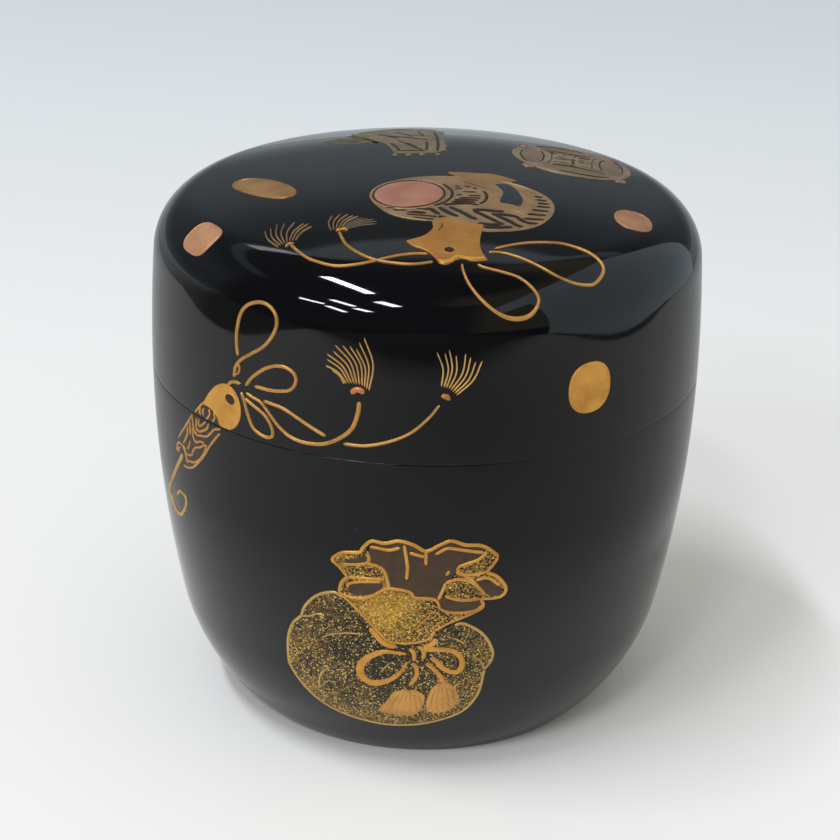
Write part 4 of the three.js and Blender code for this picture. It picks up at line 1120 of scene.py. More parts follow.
key_hole_rim_size_shares = (8.05, 6.65)
key_hole = oval(key_hole_share, *key_hole_size_shares, key_hole_turn, count=SMALL_OVAL_POINTS)
key_hole_rim = oval(key_hole_share, *key_hole_rim_size_shares, key_hole_turn, count=SMALL_OVAL_POINTS)

work = RaisedWork(*KEY)
work.fill(key_cap_shares, *KEY_CAP_FILL, middle=key_cap_middle_share)
work.brushes(key_cap_line_shares, *KEY_CAP_LINE)
work.ring(key_hole_rim, *KEY_HOLE_RIM)
work.finish("key_cap_gold", KEY_GOLD, "cover", ["key_cap"])

work = RaisedWork(*KEY)
work.fill(key_cap_cell_shares, *KEY_GROUND_FILL, middle=key_cap_cell_middle_share)
work.finish("key_cap_brown", GRIP_BROWN, "cover", slot="black_lacquer")

work = RaisedWork(*KEY)
work.fill(key_hole, *KEY_HOLE_FILL)
work.finish("key_cap_hole", LINE_BROWN, "cover", slot="black_lacquer")

work = RaisedWork(*KEY)
work.fill(key_grip_shares, *KEY_GROUND_FILL, middle=key_grip_middle_share)
work.finish("key_grip_brown", GRIP_BROWN, "vessel", ["key_grip"], slot="black_lacquer")

work = RaisedWork(*KEY)
work.brushes(key_grip_line_shares, *KEY_GRIP_LINE)
work.brushes(key_foot_ring_shares, *OUTLINE)
work.finish("key_grip_lines", CORD_GOLD, "vessel")

work = RaisedWork(*KEY)
work.brush(key_rod_shares, *KEY_ROD)
work.finish("key_rod", PALE_GOLD, "vessel")

# The key's cord
tall_loop_shares = [[-57, -6], [-58, 2.5], [-57.5, 10], [-55, 19], [-50, 24.5], [-42.5, 27], [-36, 25.5],
                    [-32, 20.5], [-33, 13], [-39, 4], [-47.5, -2.5], [-55, -8], [-58.5, -13], [-59.5, -19]]
small_ring_shares = [[-57.3, -10], [-55.6, -12.5], [-56.4, -16], [-58.6, -17]]
side_loop_shares = [[-51.5, -22], [-46.5, -15.5], [-37.5, -8.5], [-28, -5.7], [-21, -8], [-19.5, -13],
                    [-23.5, -18.5], [-34, -20.8], [-45.5, -20.8]]
low_loop_shares = [[-54.5, -26.5], [-52.5, -31], [-50, -38.5], [-46.5, -45.5], [-40, -48.7], [-34.5, -48],
                   [-34, -43], [-38.5, -36.5], [-47, -32], [-52, -29.5]]
first_cord_shares = [[-51, -26], [-47, -27.5], [-41, -29.5], [-35, -35.5], [-29.5, -41], [-22, -45.5],
                     [-12.5, -47], [-2, -45.5], [7, -40.5], [13, -34.5], [16, -26.5], [17, -18.5]]
second_cord_near_shares = [[-39.5, -28], [-35, -28.5], [-27, -29.7], [-18, -33.5], [-9.5, -37.5],
    [-1.5, -41]]
second_cord_far_shares = [[8.5, -43.8], [20, -43.5], [32.5, -40], [44, -34], [53, -25], [58.5, -17]]
cord_start_shares = [[-64, -25], [-62, -22.8], [-59, -21.8], [-55, -21.8]]
near_tip_shares = [[1.5, -2.5], [-2, -0.5], [-1.5, 3], [-1.5, 6], [2, 8], [3, 11.5], [7, 12], [11, 12],
                   [14.5, 11], [16, 14.5], [18.5, 17.5]]
near_root_shares = [[8.5, -9.5], [12, -8.5], [18, -9], [22, -11.5]]
far_tip_shares = [[56, 12.5], [60, 12], [62, 14], [65.5, 11], [70, 12], [72.5, 10], [75, 7.5], [78, 8]]
far_root_shares = [[59, -6.5], [63, -7.5], [66.5, -11]]
near_knot_shares = [[12.5, -14.5], [14, -12.5], [17, -11.8], [19.5, -13.5]]
far_knot_shares = [[59, -12], [61.5, -12], [63.5, -14]]

work = RaisedWork(*KEY_CORD)
work.brushes([tall_loop_shares, side_loop_shares, low_loop_shares, cord_start_shares], *KEY_LOOP)
work.brush(first_cord_shares, *FIRST_CORD)
work.brush(second_cord_near_shares, *SECOND_CORD_NEAR)
work.brush(second_cord_far_shares, *SECOND_CORD_FAR)
work.brush(small_ring_shares, *SMALL_RING)
work.finish("key_cord_gold", CORD_GOLD, "cover", ["key_cord"])

work = RaisedWork(*KEY_CORD)
work.strands(near_root_shares, near_tip_shares, NEAR_STRAND_BOW, *STRAND)
work.strands(far_root_shares, far_tip_shares, FAR_STRAND_BOW, *STRAND)
work.finish("key_cord_strands", STRAND_GOLD, "cover")

work = RaisedWork(*KEY_CORD)
work.brush(near_knot_shares, *NEAR_KNOT)
work.brush(far_knot_shares, *FAR_KNOT)
work.finish("key_cord_knots", KNOT_COPPER, "cover", slot="copper")

# The drawstring pouch: bag, ruffle, bow and puffs
bag_shares = [
    [[-20.8, 40.8], [-25.6, 42.8], [-33.2, 38.8], [-38.8, 31.6], [-41.2, 24.8]],
    [[-41.2, 24.8], [-45.6, 18.4], [-48, 9.6], [-48.4, -1.6], [-47.2, -8], [-40, -18.8], [-30, -27.2],
     [-16, -32.4], [0, -34.4], [16, -32], [32, -24.8], [39.6, -13.6], [42, -2], [42.4, 1.2]],
    [[42.4, 1.2], [45.6, 6.4], [45.6, 12.8], [41.2, 22.4], [33.2, 29.2], [28.8, 28.8]],
    [[28.8, 28.8], [24, 27], [20, 25.6]],
    [[20, 25.6], [8, 20.5], [0, 21.5], [-20.8, 40.8]],
]
bag_middle_share = (-2.4, 1.6)
bag_line_shares = [
    [[-20.8, 40.8], [-25.6, 42.6], [-33.2, 38.8], [-38.8, 31.6], [-41.2, 24.8]],
    bag_shares[1],
    [[42.4, 1.2], [45.6, 6.4], [45.6, 12.8], [41.2, 22.4], [33.2, 29.2], [28.8, 28.6]],
]
bag_crease_shares = [
    [[-41.6, 24.8], [-36.8, 26.4], [-33.2, 28.8], [-29.6, 28.8]],
    [[-31.2, 15.6], [-28, 18.4], [-22, 20.8], [-16, 22], [-12.4, 21.6]],
    [[42.4, 1.2], [40.8, 6.4], [36.8, 10.4]],
    [[-33.6, -16], [-33.2, -9.6], [-32, -5.6], [-29.2, -2]],
    [[-9.6, -14], [-8.8, -10.8]],
    [[28, 22], [31.2, 20], [33.6, 17.6]],
    [[-4.4, 1.2], [-2, 4.4], [0.4, 8]],
]
ruffle_back_shares = [
    [[-0.8, 19.6], [-4, 30], [-6, 40], [-11, 47], [-8.8, 57], [-9.5, 66]],
    [[-9.5, 66], [-8, 71], [-2, 71.5], [4, 73], [10.4, 71.5], [16, 68.5], [21.6, 71], [26.8, 73],
     [32.8, 71], [39.6, 69.5], [43, 66]],
    [[43, 66], [38, 62], [30, 58], [26.5, 53], [24, 46], [22, 38], [20.4, 26.4]],
    [[20.4, 26.4], [8, 20.5], [-0.8, 19.6]],
]
ruffle_back_middle_share = (14.4, 54.4)
ruffle_front_shares = [
    [[-0.8, 19.6], [-8, 28.4], [-16.8, 38], [-22.4, 43]],
    [[-22.4, 43], [-19.2, 41.6], [-12, 41.6], [-7.2, 44], [-2.4, 47.6], [1.2, 48.4], [8.8, 47.2],
     [11.6, 44.4], [19.2, 43.6], [21.6, 41.2], [22.4, 38.4], [26, 36.4], [32, 35.6], [38, 36], [40, 36.8]],
    [[40, 36.8], [32, 32.8], [25.6, 30], [20.4, 26.4]],
    [[20.4, 26.4], [17.2, 21.6], [8, 19.2], [-0.8, 19.6]],
]
ruffle_front_middle_share = (9.2, 32.8)
left_upper_flap_shares = [
    [[-18.8, 52.4], [-22.4, 56.8], [-26.4, 60]],
    [[-26.4, 60], [-21.2, 64.4], [-13.6, 66], [-11.6, 68.8], [-9, 66], [-9.6, 61.2]],
    [[-9.6, 61.2], [-4, 59.5], [-1.6, 56.5], [-1.6, 53.5]],
    [[-1.6, 53.5], [-8, 52.5], [-18.8, 52.4]],
]
left_lower_flap_shares = [
    [[-22.8, 43.2], [-21.6, 48.8], [-18.8, 52.4]],
    [[-18.8, 52.4], [-8, 53.5], [-1.6, 54], [0, 48.4]],
    [[0, 48.4], [-2.4, 47.6], [-7.2, 44], [-12, 41.6], [-19.2, 41.6], [-22.8, 43.2]],
]
right_upper_flap_shares = [
    [[42, 68], [47.2, 63.2]],
    [[47.2, 63.2], [44.8, 59.2], [42, 56]],
    [[42, 56], [36, 55.6], [31, 57.2], [29.6, 60]],
    [[29.6, 60], [34, 61.6], [39, 63.2], [42, 68]],
]
right_middle_flap_shares = [
    [[30, 57.4], [36, 56.6], [42, 56], [47.2, 52.4], [50.8, 46], [49.2, 42], [44, 41.6]],
    [[44, 41.6], [38.4, 42.4], [32, 43], [25, 45.5]],
    [[25, 45.5], [24.5, 50], [25.5, 53], [30, 57.4]],
]
left_upper_slot_shares = [
    [[-21.2, 59.6], [-19, 61.5], [-14, 63.2], [-11, 65.6]],
    [[-11, 65.6], [-9.4, 62], [-9.8, 60.4]],
    [[-9.8, 60.4], [-15, 60], [-21.2, 59.6]],
]
left_lower_slot_shares = [
    [[-19, 46.8], [-18, 49], [-12, 51], [-3.2, 52]],
    [[-3.2, 52], [-2.6, 49.6], [-5, 47], [-9, 44.4], [-14.4, 43.2], [-18, 44.4], [-19, 46.8]],
]
right_brown_lens_shares = [
    [[37.6, 52], [42.8, 52.2], [48, 47.6], [49.4, 43]],
    [[49.4, 43], [45.2, 42.8], [41.4, 45.2], [37.6, 52]],
]
right_lower_slot_shares = [
    [[21.6, 43.2], [24.4, 45.2], [30, 42.8], [36, 42], [40, 42.4]],
    [[40, 42.4], [41.2, 38.4], [39.2, 36]],
    [[39.2, 36], [34, 35.6], [28, 36], [24, 37.2], [21.8, 39.6], [21.6, 43.2]],
]
ruffle_line_shares = [
    left_lower_flap_shares[0],
    left_upper_flap_shares[0],
    [[-26.4, 60], [-21.2, 64.4], [-13.6, 66], [-11.6, 68.8], [-8, 72.4], [-2, 72], [4, 73.6], [10.4, 72],
     [16, 68.8], [21.6, 71.6], [26.8, 73.6], [32.8, 71.2], [39.6, 70], [44, 66.8], [47.2, 63.2]],
    right_upper_flap_shares[1],
    [[42, 56], [47.2, 52.4], [50.8, 46], [49.2, 42], [44, 41.6], [40, 42.4]],
    [[40, 42.4], [41.2, 38.4], [39.2, 36], [32, 32.8], [25.6, 30], [20.4, 26.4]],
    [[-0.8, 19.6], [-8, 28.4], [-16.8, 38], [-22.8, 43.2]],
    [[-0.8, 19.6], [8, 19.2], [17.2, 21.6], [20.4, 26.4]],
    [[-8.8, 69.6], [-4, 69.2], [0, 68.8], [4.8, 70.4]],
    [[8.8, 68], [12, 67], [15.6, 66]],
    [[20, 67.2], [25.2, 70], [30, 69.2], [36, 67.6], [41, 66.4]],
    [[6.4, 72], [7.6, 64], [8, 60], [7.6, 54]],
    [[16, 68.8], [16, 61.6]],
    [[-9.6, 66], [-9, 63], [-9.6, 61.2], [-4, 59.5], [-1.8, 56.5], [-0.8, 52.5], [0, 48.4]],
    [[-21.6, 58.4], [-15, 59.6], [-9.6, 61.2]],
    [[-18.8, 52.4], [-10, 53], [-2, 53.6]],
    left_lower_slot_shares[0],
    [[-22.8, 43.2], [-19.2, 42], [-12, 42], [-7.2, 44.4], [-2.4, 48], [1.2, 48.8], [8.8, 47.6],
     [11.6, 44.6], [19.2, 43.8], [21.6, 41.4], [22.4, 38.6], [26, 36.6], [32, 35.8], [38, 36.4],
     [40.8, 38.8]],
    [[21.6, 43.2], [24, 49.6], [24.6, 52]],
    [[24.4, 45.2], [30, 42.8], [36, 42], [40, 42.4]],
    [[24.6, 52], [30, 53.8], [36, 51.4], [40.8, 46]],
    [[37.6, 52.4], [43, 52.8], [48.4, 47.6]],
    [[29, 57.6], [34, 54.8], [38.4, 49.6], [42, 44]],
    [[29.6, 60], [31, 57], [36, 55.6], [42, 56]],
    [[29.6, 60], [34, 61.6], [39, 63.2], [42.4, 66.8]],
    [[24.8, 56], [26.4, 58.4]],
]
front_fold_shares = [
    [[-7, 40.5], [-4, 34]],
    [[8, 42.5], [7, 35]],
    [[20, 38], [12, 28]],
    [[26, 34.5], [18, 27]],
]
bow_left_shares = [[8, 13.2], [3.2, 13.6], [-2.4, 13.6], [-8, 10.8], [-12.4, 6], [-13.6, 0.8], [-12, -3.2],
                   [-7.6, -5.6], [-2.4, -4], [2.4, -0.8], [6, 4], [8, 8.8]]
bow_right_shares = [[14.8, 16.4], [19.2, 16], [24, 15.6], [28.8, 14], [32, 10], [32.4, 5.2], [30.4, 2],
                    [27.2, 2.4], [23.6, 5.2], [20.8, 9.2], [18.4, 11.2]]
bow_tail_shares = [
    [[10.4, 8], [12, 5.6], [12.4, 1.6], [11.2, -2], [9.2, -5.2]],
    [[16.4, 8], [18.8, 5.6], [21.6, 2], [23.6, -2], [24.8, -4.4]],
]
bow_knot_lobe_shares = [
    [[9.2, 16.4], [10.8, 14.4], [11.2, 11.6], [11.2, 9.2]],
    [[12.8, 17.6], [14.8, 16], [15.6, 13.2], [14.8, 10.4]],
]
neck_cord_shares = [
    [[-8.8, 26.4], [-6.4, 23.2], [-3.6, 19.6], [0, 17.6], [3.2, 17.2]],
    [[15.2, 17.2], [18.4, 18.4], [21.6, 21.6]],
]
puff_collar_shares = [
    [[6.4, -6], [7.6, -8], [10.4, -8.8], [12, -7.2], [12, -5.2]],
    [[21.6, -3.4], [24, -2.4], [26.4, -3.2]],
]
left_puff_shares = [
    [[4.8, -8.4], [1.2, -10.4], [-1.2, -15.2], [-4, -20], [-4.8, -22.4]],
    [[-4.8, -22.4], [-3.6, -24.4], [0, -25.4], [4.8, -26], [8.8, -26], [11.6, -24.8]],
    [[11.6, -24.8], [14, -20.8], [15.6, -16], [16, -12], [13.6, -9.2], [10.4, -8], [4.8, -8.4]],
]
right_puff_shares = [
    [[21.6, -4.4], [19.2, -6.8], [17.6, -11.2], [16.4, -16.8], [16.2, -20.8]],
    [[16.2, -20.8], [17.6, -23], [21.6, -24], [25.6, -23], [28.8, -20.8]],
    [[28.8, -20.8], [31.2, -16.8], [31.2, -12.8], [29.6, -8], [27.2, -4.8], [25.2, -3.6], [21.6, -4.4]],
]
fray_shares = [
    [[-3.2, -20], [-5.8, -23.6]],
    [[-1.6, -21.5], [-3.2, -25.4]],
    [[0.4, -22], [-0.6, -26.6]],
    [[2.6, -22.5], [2.2, -27.4]],
    [[5, -22.5], [5, -27.6]],
    [[7.4, -22.5], [7.8, -27.6]],
    [[9.4, -22], [10.4, -26.8]],
    [[11.4, -21], [12.8, -25.2]],
    [[13, -18.5], [14.8, -22.4]],
    [[18, -20], [16.6, -23.8]],
    [[20, -21], [19.4, -25.2]],
    [[22.2, -21.4], [22.2, -25.8]],
    [[24.4, -21], [25, -25.4]],
    [[26.6, -19.8], [27.6, -23.8]],
    [[28.4, -18], [30, -21.6]],
    [[29.4, -15], [31.8, -18.2]],
]
puff_hair_shares = [
    [[4.6, -10.5], [1.6, -16], [-0.6, -22.8]],
    [[6.2, -10.4], [4.2, -16.4], [2.8, -23.8]],
    [[7.8, -10.2], [6.6, -16.6], [6, -24]],
    [[9.4, -10], [9.2, -16.4], [9, -23.6]],
    [[11, -10.2], [11.8, -15.6], [12, -21.6]],
    [[12.6, -10.6], [13.8, -14], [14.2, -18]],
    [[20.8, -7.4], [19.2, -12.8], [18.6, -19.6]],
    [[22.4, -6.6], [21.4, -13.6], [21, -21.4]],
    [[23.8, -6], [23.8, -13.4], [23.8, -21.6]],
    [[25.2, -6], [26.4, -12.6], [26.6, -19.6]],
    [[26.6, -6.6], [28.8, -11.4], [29.2, -16.6]],
]

work = RaisedWork(*POUCH)
work.fill(bag_shares, *BAG_FILL, middle=bag_middle_share)
work.finish("pouch_bag", SPRINKLED_BAG, "vessel", ["pouch"], slot="sprinkled_gold")

work = RaisedWork(*POUCH)
work.brushes(bag_line_shares, *OUTLINE)
work.brushes(bag_crease_shares, *BAG_CREASE)
work.finish("pouch_bag_lines", PALE_GOLD, "vessel")

work = RaisedWork(*POUCH)
work.fill(ruffle_back_shares, *RUFFLE_INSIDE_FILL, middle=ruffle_back_middle_share)
work.finish("pouch_ruffle_inside", INNER_BROWN, "vessel", slot="sprinkled_gold")

work = RaisedWork(*POUCH)
for flap in (
        left_upper_flap_shares, left_lower_flap_shares, right_upper_flap_shares, right_middle_flap_shares):
    work.fill(flap, *FLAP_FILL)
work.fill(ruffle_front_shares, *RUFFLE_FRONT_FILL, middle=ruffle_front_middle_share)
work.finish("pouch_ruffle_front", SPRINKLED_GOLD, "vessel", slot="sprinkled_gold")

work = RaisedWork(*POUCH)
for opening in (
        left_upper_slot_shares, left_lower_slot_shares, right_brown_lens_shares, right_lower_slot_shares):
    work.fill(opening, *SLOT_FILL)
work.finish("pouch_ruffle_slots", INNER_BROWN, "vessel", slot="sprinkled_gold")

work = RaisedWork(*POUCH)
work.brushes(ruffle_line_shares, *RUFFLE_LINE)
work.brushes(front_fold_shares, *FRONT_FOLD)
work.finish("pouch_ruffle_lines", GOLD, "vessel")

work = RaisedWork(*POUCH)
work.brush(bow_left_shares, *BOW_LEFT)
work.brush(bow_right_shares, *BOW_RIGHT)
work.brushes(bow_tail_shares, *BOW_TAIL)
work.brushes(bow_knot_lobe_shares, *BOW_KNOT)
work.brushes(neck_cord_shares, *NECK_CORD)
work.finish("pouch_bow", GOLD, "vessel", ["pouch_cord"])

work = RaisedWork(*POUCH)
work.fill(left_puff_shares, *PUFF_FILL)
work.fill(right_puff_shares, *PUFF_FILL)
work.brushes(fray_shares, *PUFF_FRAY)
work.brushes(puff_collar_shares, *PUFF_COLLAR)
work.finish("pouch_puffs", CORD_GOLD, "vessel")

work = RaisedWork(*POUCH)
work.brushes(puff_hair_shares, *PUFF_HAIR)
work.finish("pouch_puff_hair", HANDLE_GOLD, "vessel")

# The straw cape on the back of the crown
cape_shares = [
    [[-21.5, 21], [-10, 20.5], [0, 21]],
    [[0, 21], [2.5, 22], [6, 26], [9.5, 30]],
    [[9.5, 30], [9, 50], [8, 70], [7.5, 90], [3, 100]],
    [[3, 100], [-12, 106], [-30, 101], [-47, 87]],
    [[-47, 87], [-44, 76], [-39, 65], [-33, 56]],
    [[-33, 56], [-29, 49], [-26, 41], [-23.5, 31], [-21.5, 21]],
]
cape_middle_share = (-16, 65)
cape_wing_shares = [
    [[-65, 64], [-57.5, 56], [-47.5, 53], [-38, 52]],
    [[-62, 66], [-56, 60], [-49, 56.5]],
    [[-60, 69], [-52, 62], [-42, 57], [-34, 55]],
    [[-58, 72], [-48, 64], [-38, 60], [-31, 59]],
    [[-52, 80], [-44, 70], [-36, 63]],
]
cape_edge_shares = [
    [[-27.5, 49], [-25.5, 42.5], [-23.5, 35], [-21.5, 27], [-21, 23]],
    [[-23, 50], [-20.5, 43], [-18.5, 38]],
    [[-46, 86], [-30, 101], [-12, 106], [3, 100]],
    [[-12.5, 55], [-9, 48], [-5, 40]],
    [[1, 26.5], [1.8, 40], [1, 50]],
    [[1.5, 61.5], [0.5, 70], [-0.5, 80], [-1.5, 90]],
    [[7.5, 27.5], [8.5, 40], [7.5, 55], [7.5, 75], [7, 95]],
    [[-49, 85], [-46, 79], [-39, 65], [-32.5, 56]],
    [[-12, 70], [-8, 76], [-5, 84]],
]
cape_dark_shares = [
    [[-24, 46.5], [-21.5, 38.5], [-19.5, 31], [-19, 26]],
    [[-14.5, 48], [-11, 40], [-7.5, 32.5], [-4.5, 27]],
    [[-20, 55], [-16, 47.5], [-12, 40], [-8, 31.5]],
    [[-19.5, 25.8], [-3, 25.8]],
    [[-2.5, 27], [-2, 40], [-2.5, 52]],
    [[4.3, 26], [4.6, 42], [4.3, 58], [3.5, 74], [2, 90]],
    [[-29, 74], [-19.5, 68], [-10, 62], [-1, 58]],
    [[-41, 66.5], [-36, 57.5], [-32, 51]],
    [[-33, 80], [-26, 70], [-20, 62]],
    [[-22, 88], [-16, 78], [-12, 70]],
    [[-8, 92], [-6, 80], [-4, 70]],
]
cape_hem_shares = [[-20.5, 23.2], [-12, 22.8], [-3, 23.2]]
cape_tuft_shares = [
    [[-21, 19], [-21, 14.5]],
    [[-13, 19], [-13, 14.5]],
    [[-5, 20.5], [-5, 15.5]],
    [[4.5, 21], [4.5, 16.5]],
]
cape_side_tuft_shares = [
    [[8, 30.5], [10, 30.5]],
    [[8.5, 41], [10.3, 41]],
    [[8, 52], [9.8, 52]],
]

work = RaisedWork(*CAPE)
work.fill(cape_shares, middle=cape_middle_share)
work.brushes(cape_edge_shares, *CAPE_EDGE)
work.brush(cape_hem_shares, *CAPE_HEM)
work.brushes(cape_tuft_shares, *CAPE_TUFT)
work.brushes(cape_side_tuft_shares, *CAPE_SIDE_TUFT)
work.finish("cape_straw", CAPE_GOLD, "cover", ["straw_cape"])

work = RaisedWork(*CAPE)
work.brushes(cape_wing_shares, *CAPE_WING)
work.finish("cape_wing", DIM_GOLD, "cover")

work = RaisedWork(*CAPE)
work.brushes(cape_dark_shares, *CAPE_STRAW)
work.finish("cape_dark_straw", LINE_BROWN, "cover")

# The treasure disc: rim, four petals and a pearl at each tip
petal_shares = [[-35, -35], [-26, -24], [-19.5, -12], [-17, 0], [-19.5, 12], [-26, 24], [-35, 35]]
petal_line_shares = [
    [[-40.8, 14.6], [-42.8, -2.7], [-41.4, -16.5], [-38, -28.9]],
    [[-24.9, 18], [-23.5, 7.7], [-23.5, -2.7], [-25.6, -16.5], [-29.7, -26.1]],
    [[-15.9, 16.6], [-16.6, 4.2], [-17.3, -6.1], [-19.4, -16.5], [-22.1, -25.5]],
]
petal_lens_shares = [
    [[-36, -29], [-28, -16], [-24.5, 0], [-28, 16], [-36, 29]],
    [[-36, 29], [-41.5, 15], [-43, 0], [-41.5, -15], [-36, -29]],
]
wave_dark_shares = [
    [[-21.4, -26.1], [-11.1, -18.6], [-0.8, -19.2], [9.6, -17.9], [17.2, -19.2], [22, -24.1]],
    [[0.6, -19.9], [0.6, -6.1], [1.3, 7.7]],
    [[-6.3, -21.3], [-5.6, -13.7]],
    [[8.2, -12.3], [8.9, -17.9], [13, -19.2]],
    [[-18, 20], [-11, 14], [-1, 16], [9, 14], [18, 20]],
    [[-12, 8], [-6, 2], [0, 0]],
    [[12, 8], [6, 2], [0, 0]],
    [[-16, 0], [-11, -3], [-5, -1]],
    [[16, 0], [11, -3], [5, -1]],
]
wave_light_shares = [
    [[-18.7, -22], [-11.1, -15.1], [-4.9, -7.5]],
    [[3.4, -17.9], [4.8, -2.7], [6.1, 16.6]],
    [[10.3, -4.1], [15.1, -8.2], [17.2, -15.1]],
    [[-12, 12], [-6, 16], [-2, 18]],
]
pearl_shares = [[37.5, 37.5]]
disc_rim_share = 0.965


def about(points, turn):
    """Points turned about the disc's middle by quarter turns, in millimetres."""
    points = np.array(points, float)
    for _ in range(turn):
        points = np.column_stack([-points[:, 1], points[:, 0]])
    return (points * DISC_DIAMETER * HUNDREDTH + DISC_CENTRE).tolist()


disc = RaisedWork(*CROWN)
disc_dark = RaisedWork(*CROWN)
disc_lens = RaisedWork(*CROWN)
pearls = RaisedWork(*CROWN)
disc.fill(oval(DISC_CENTRE, DISC_DIAMETER, DISC_DIAMETER, count=DISC_POINTS), middle=DISC_CENTRE)
rim_diameter = DISC_DIAMETER * disc_rim_share
disc.ring(oval(DISC_CENTRE, rim_diameter, rim_diameter, count=DISC_RIM_POINTS), *DISC_RIM)
for quarter in range(4):
    disc.brush(about(petal_shares, quarter), *PETAL)
    disc_dark.brushes([about(line, quarter) for line in petal_line_shares], *PETAL_LINE)
    disc_lens.fill([about(stretch, quarter) for stretch in petal_lens_shares], *LENS_FILL)
    pearl = oval(about(pearl_shares, quarter)[0], PEARL_LENGTH, PEARL_WIDTH, count=PEARL_POINTS)
    pearls.fill(pearl, *PEARL_FILL, rim=PEARL_RIM_WIDTH)
disc_dark.brushes([about(wave, 0) for wave in wave_dark_shares], *WAVE_DARK)
disc.brushes([about(wave, 0) for wave in wave_light_shares], *WAVE_LIGHT)
disc.finish("disc_gold", GREY_GOLD, "cover", ["treasure_disc"])
disc_dark.finish("disc_dark_lines", LINE_BROWN, "cover")
disc_lens.finish("disc_petals", LENS_GOLD, "cover", slot="copper")
pearls.finish("disc_pearls", PEARL_BROWN, "cover")


# Oval coins, each with a raised edge and a slight swell

def coin(name, node, plane, length, width, material, body="cover", slot="gold", centre=(0.0, 0.0), turn=0.0,
         squareness=COIN_SQUARENESS):
    """An oval plate with a rim line and a low swell, its sizes in millimetres."""
    work = RaisedWork(plane)
    work.fill(oval(centre, length, width, turn, squareness, count=COIN_POINTS), *COIN_FILL, middle=centre)
    rim = oval(centre, length - COIN_RIM_INSET, width - COIN_RIM_INSET, turn, squareness, count=COIN_POINTS)
    work.ring(rim, *COIN_RIM)
    work.finish(name, material, body, [node], slot)


coin("top_coin_gold", "top_coin", MALLET[0], COIN_LENGTH, COIN_WIDTH, COIN_GOLD, centre=TOP_COIN_CENTRE,
     turn=TOP_COIN_TURN)
coin("side_coin_gold", "side_coin", DrawingPlane(SIDE_COIN_AZIMUTH, 0.0, BODY_HEIGHT + SIDE_COIN_ABOVE_SEAM),
     SIDE_COIN_WIDTH, SIDE_COIN_LENGTH, GOLD)
coin("copper_left_disc", "copper_coin_left", shoulder_plane(COPPER_LEFT_AZIMUTH, COPPER_LEFT_ELEVATION, 0.0),
     COPPER_LENGTH, COPPER_WIDTH, COPPER, slot="copper", squareness=COPPER_LEFT_SQUARENESS)
coin("copper_right_disc", "copper_coin_right", CROWN[0], COPPER_WIDTH, COPPER_LENGTH, DIM_COPPER,
     slot="copper", centre=COPPER_RIGHT_CENTRE)
for number, (azimuth, above) in enumerate(zip(BACK_COIN_AZIMUTHS, BACK_COINS_ABOVE_SEAM), start=1):
    coin(f"back_coin_{number}_gold", f"back_coin_{number}", DrawingPlane(azimuth, 0.0, BODY_HEIGHT + above),
         SIDE_COIN_WIDTH, SIDE_COIN_LENGTH, GOLD, "cover" if above > 0 else "vessel")

# The stage, in millimetres: the pale cloth's edges in the lacquer, its painted shades, and the board on the
# right
FLOOR_HALF = 4000.0
CLOTH_LEFT = -205.0
CLOTH_RIGHT = 208.0
CLOTH_FRONT_FADE = (-240.0, -195.0)
CLOTH_BACK_FADE = (0.0, 200.0)
# The middle of a painted shadow on the floor in front, as the lacquer mirrors it, and its reaches
CLOTH_SHADE = (45.0, -160.0, 0.0)
CLOTH_SHADE_REACHES = (20.0, 220.0)
FOOT_REACHES = (42.0, 76.0)
FAR_BACK_REACHES = (60.0, 420.0)
FAR_FLOOR_REACHES = (720.0, 1700.0)
FLOOR_TONE_REACHES = (-60.0, 640.0)
BOARD_X = 217.0
BOARD_TOP = 385.0
BOARDS = (("pale_board", -205.0, 200.0, 0.0), ("pale_board_end", -360.0, -205.0, 285.0))

# Shares of the floor's colour that the lacquer mirrors, at the first and the last of the reaches. The shade's
# shares are a painted shadow; the foot's and the far back's are painted light near the foot and painted shade
# beyond it
FRONT_SHARES = (0.12, 1.0)
BESIDE_SHARES = (0.12, 0.7)
SHADE_SHARES = (0.47, 0.88)
FOOT_SHARES = (1.13, 0.67)
FAR_BACK_SHARES = (0.0, 0.95)

# The floor's tones from front to back, darker and bluer towards the back as painted shade, and its colour far
# off, painted light where the lamps light it less
FLOOR_TONES_WITH_PAINTED_SHADE = (
    (0.0, (244, 244, 241)), (0.09, (241, 241, 239)), (0.19, (236, 237, 236)), (0.36, (223, 227, 229)),
    (0.64, (209, 217, 222)), (1.0, (206, 214, 220)))
FAR_FLOOR_PAINTED_LIGHT = (240, 248, 255)
FLOOR_ROUGHNESS = 0.85


def stage_plane(name, corners, material):
    """A flat stage piece through four corners, in millimetres."""
    mesh = bpy.data.meshes.new(name)
    mesh.from_pydata([tuple(side * MM for side in corner) for corner in corners], [], [(0, 1, 2, 3)])
    mesh.materials.append(material)
    piece = bpy.data.objects.new(name, mesh)
    bpy.context.scene.collection.objects.link(piece)
    return piece


# The floor is a pale cloth; in the lacquer its mirrored part ends at the cloth's edges, as in the photograph
floor = Finish("pale_floor")
right, behind, _ = floor.split(floor.place)
from_foot = floor.distance((0.0, 0.0, 0.0))
from_shade = floor.distance(CLOTH_SHADE)
tones = [(share, ink(*tone)) for share, tone in FLOOR_TONES_WITH_PAINTED_SHADE]
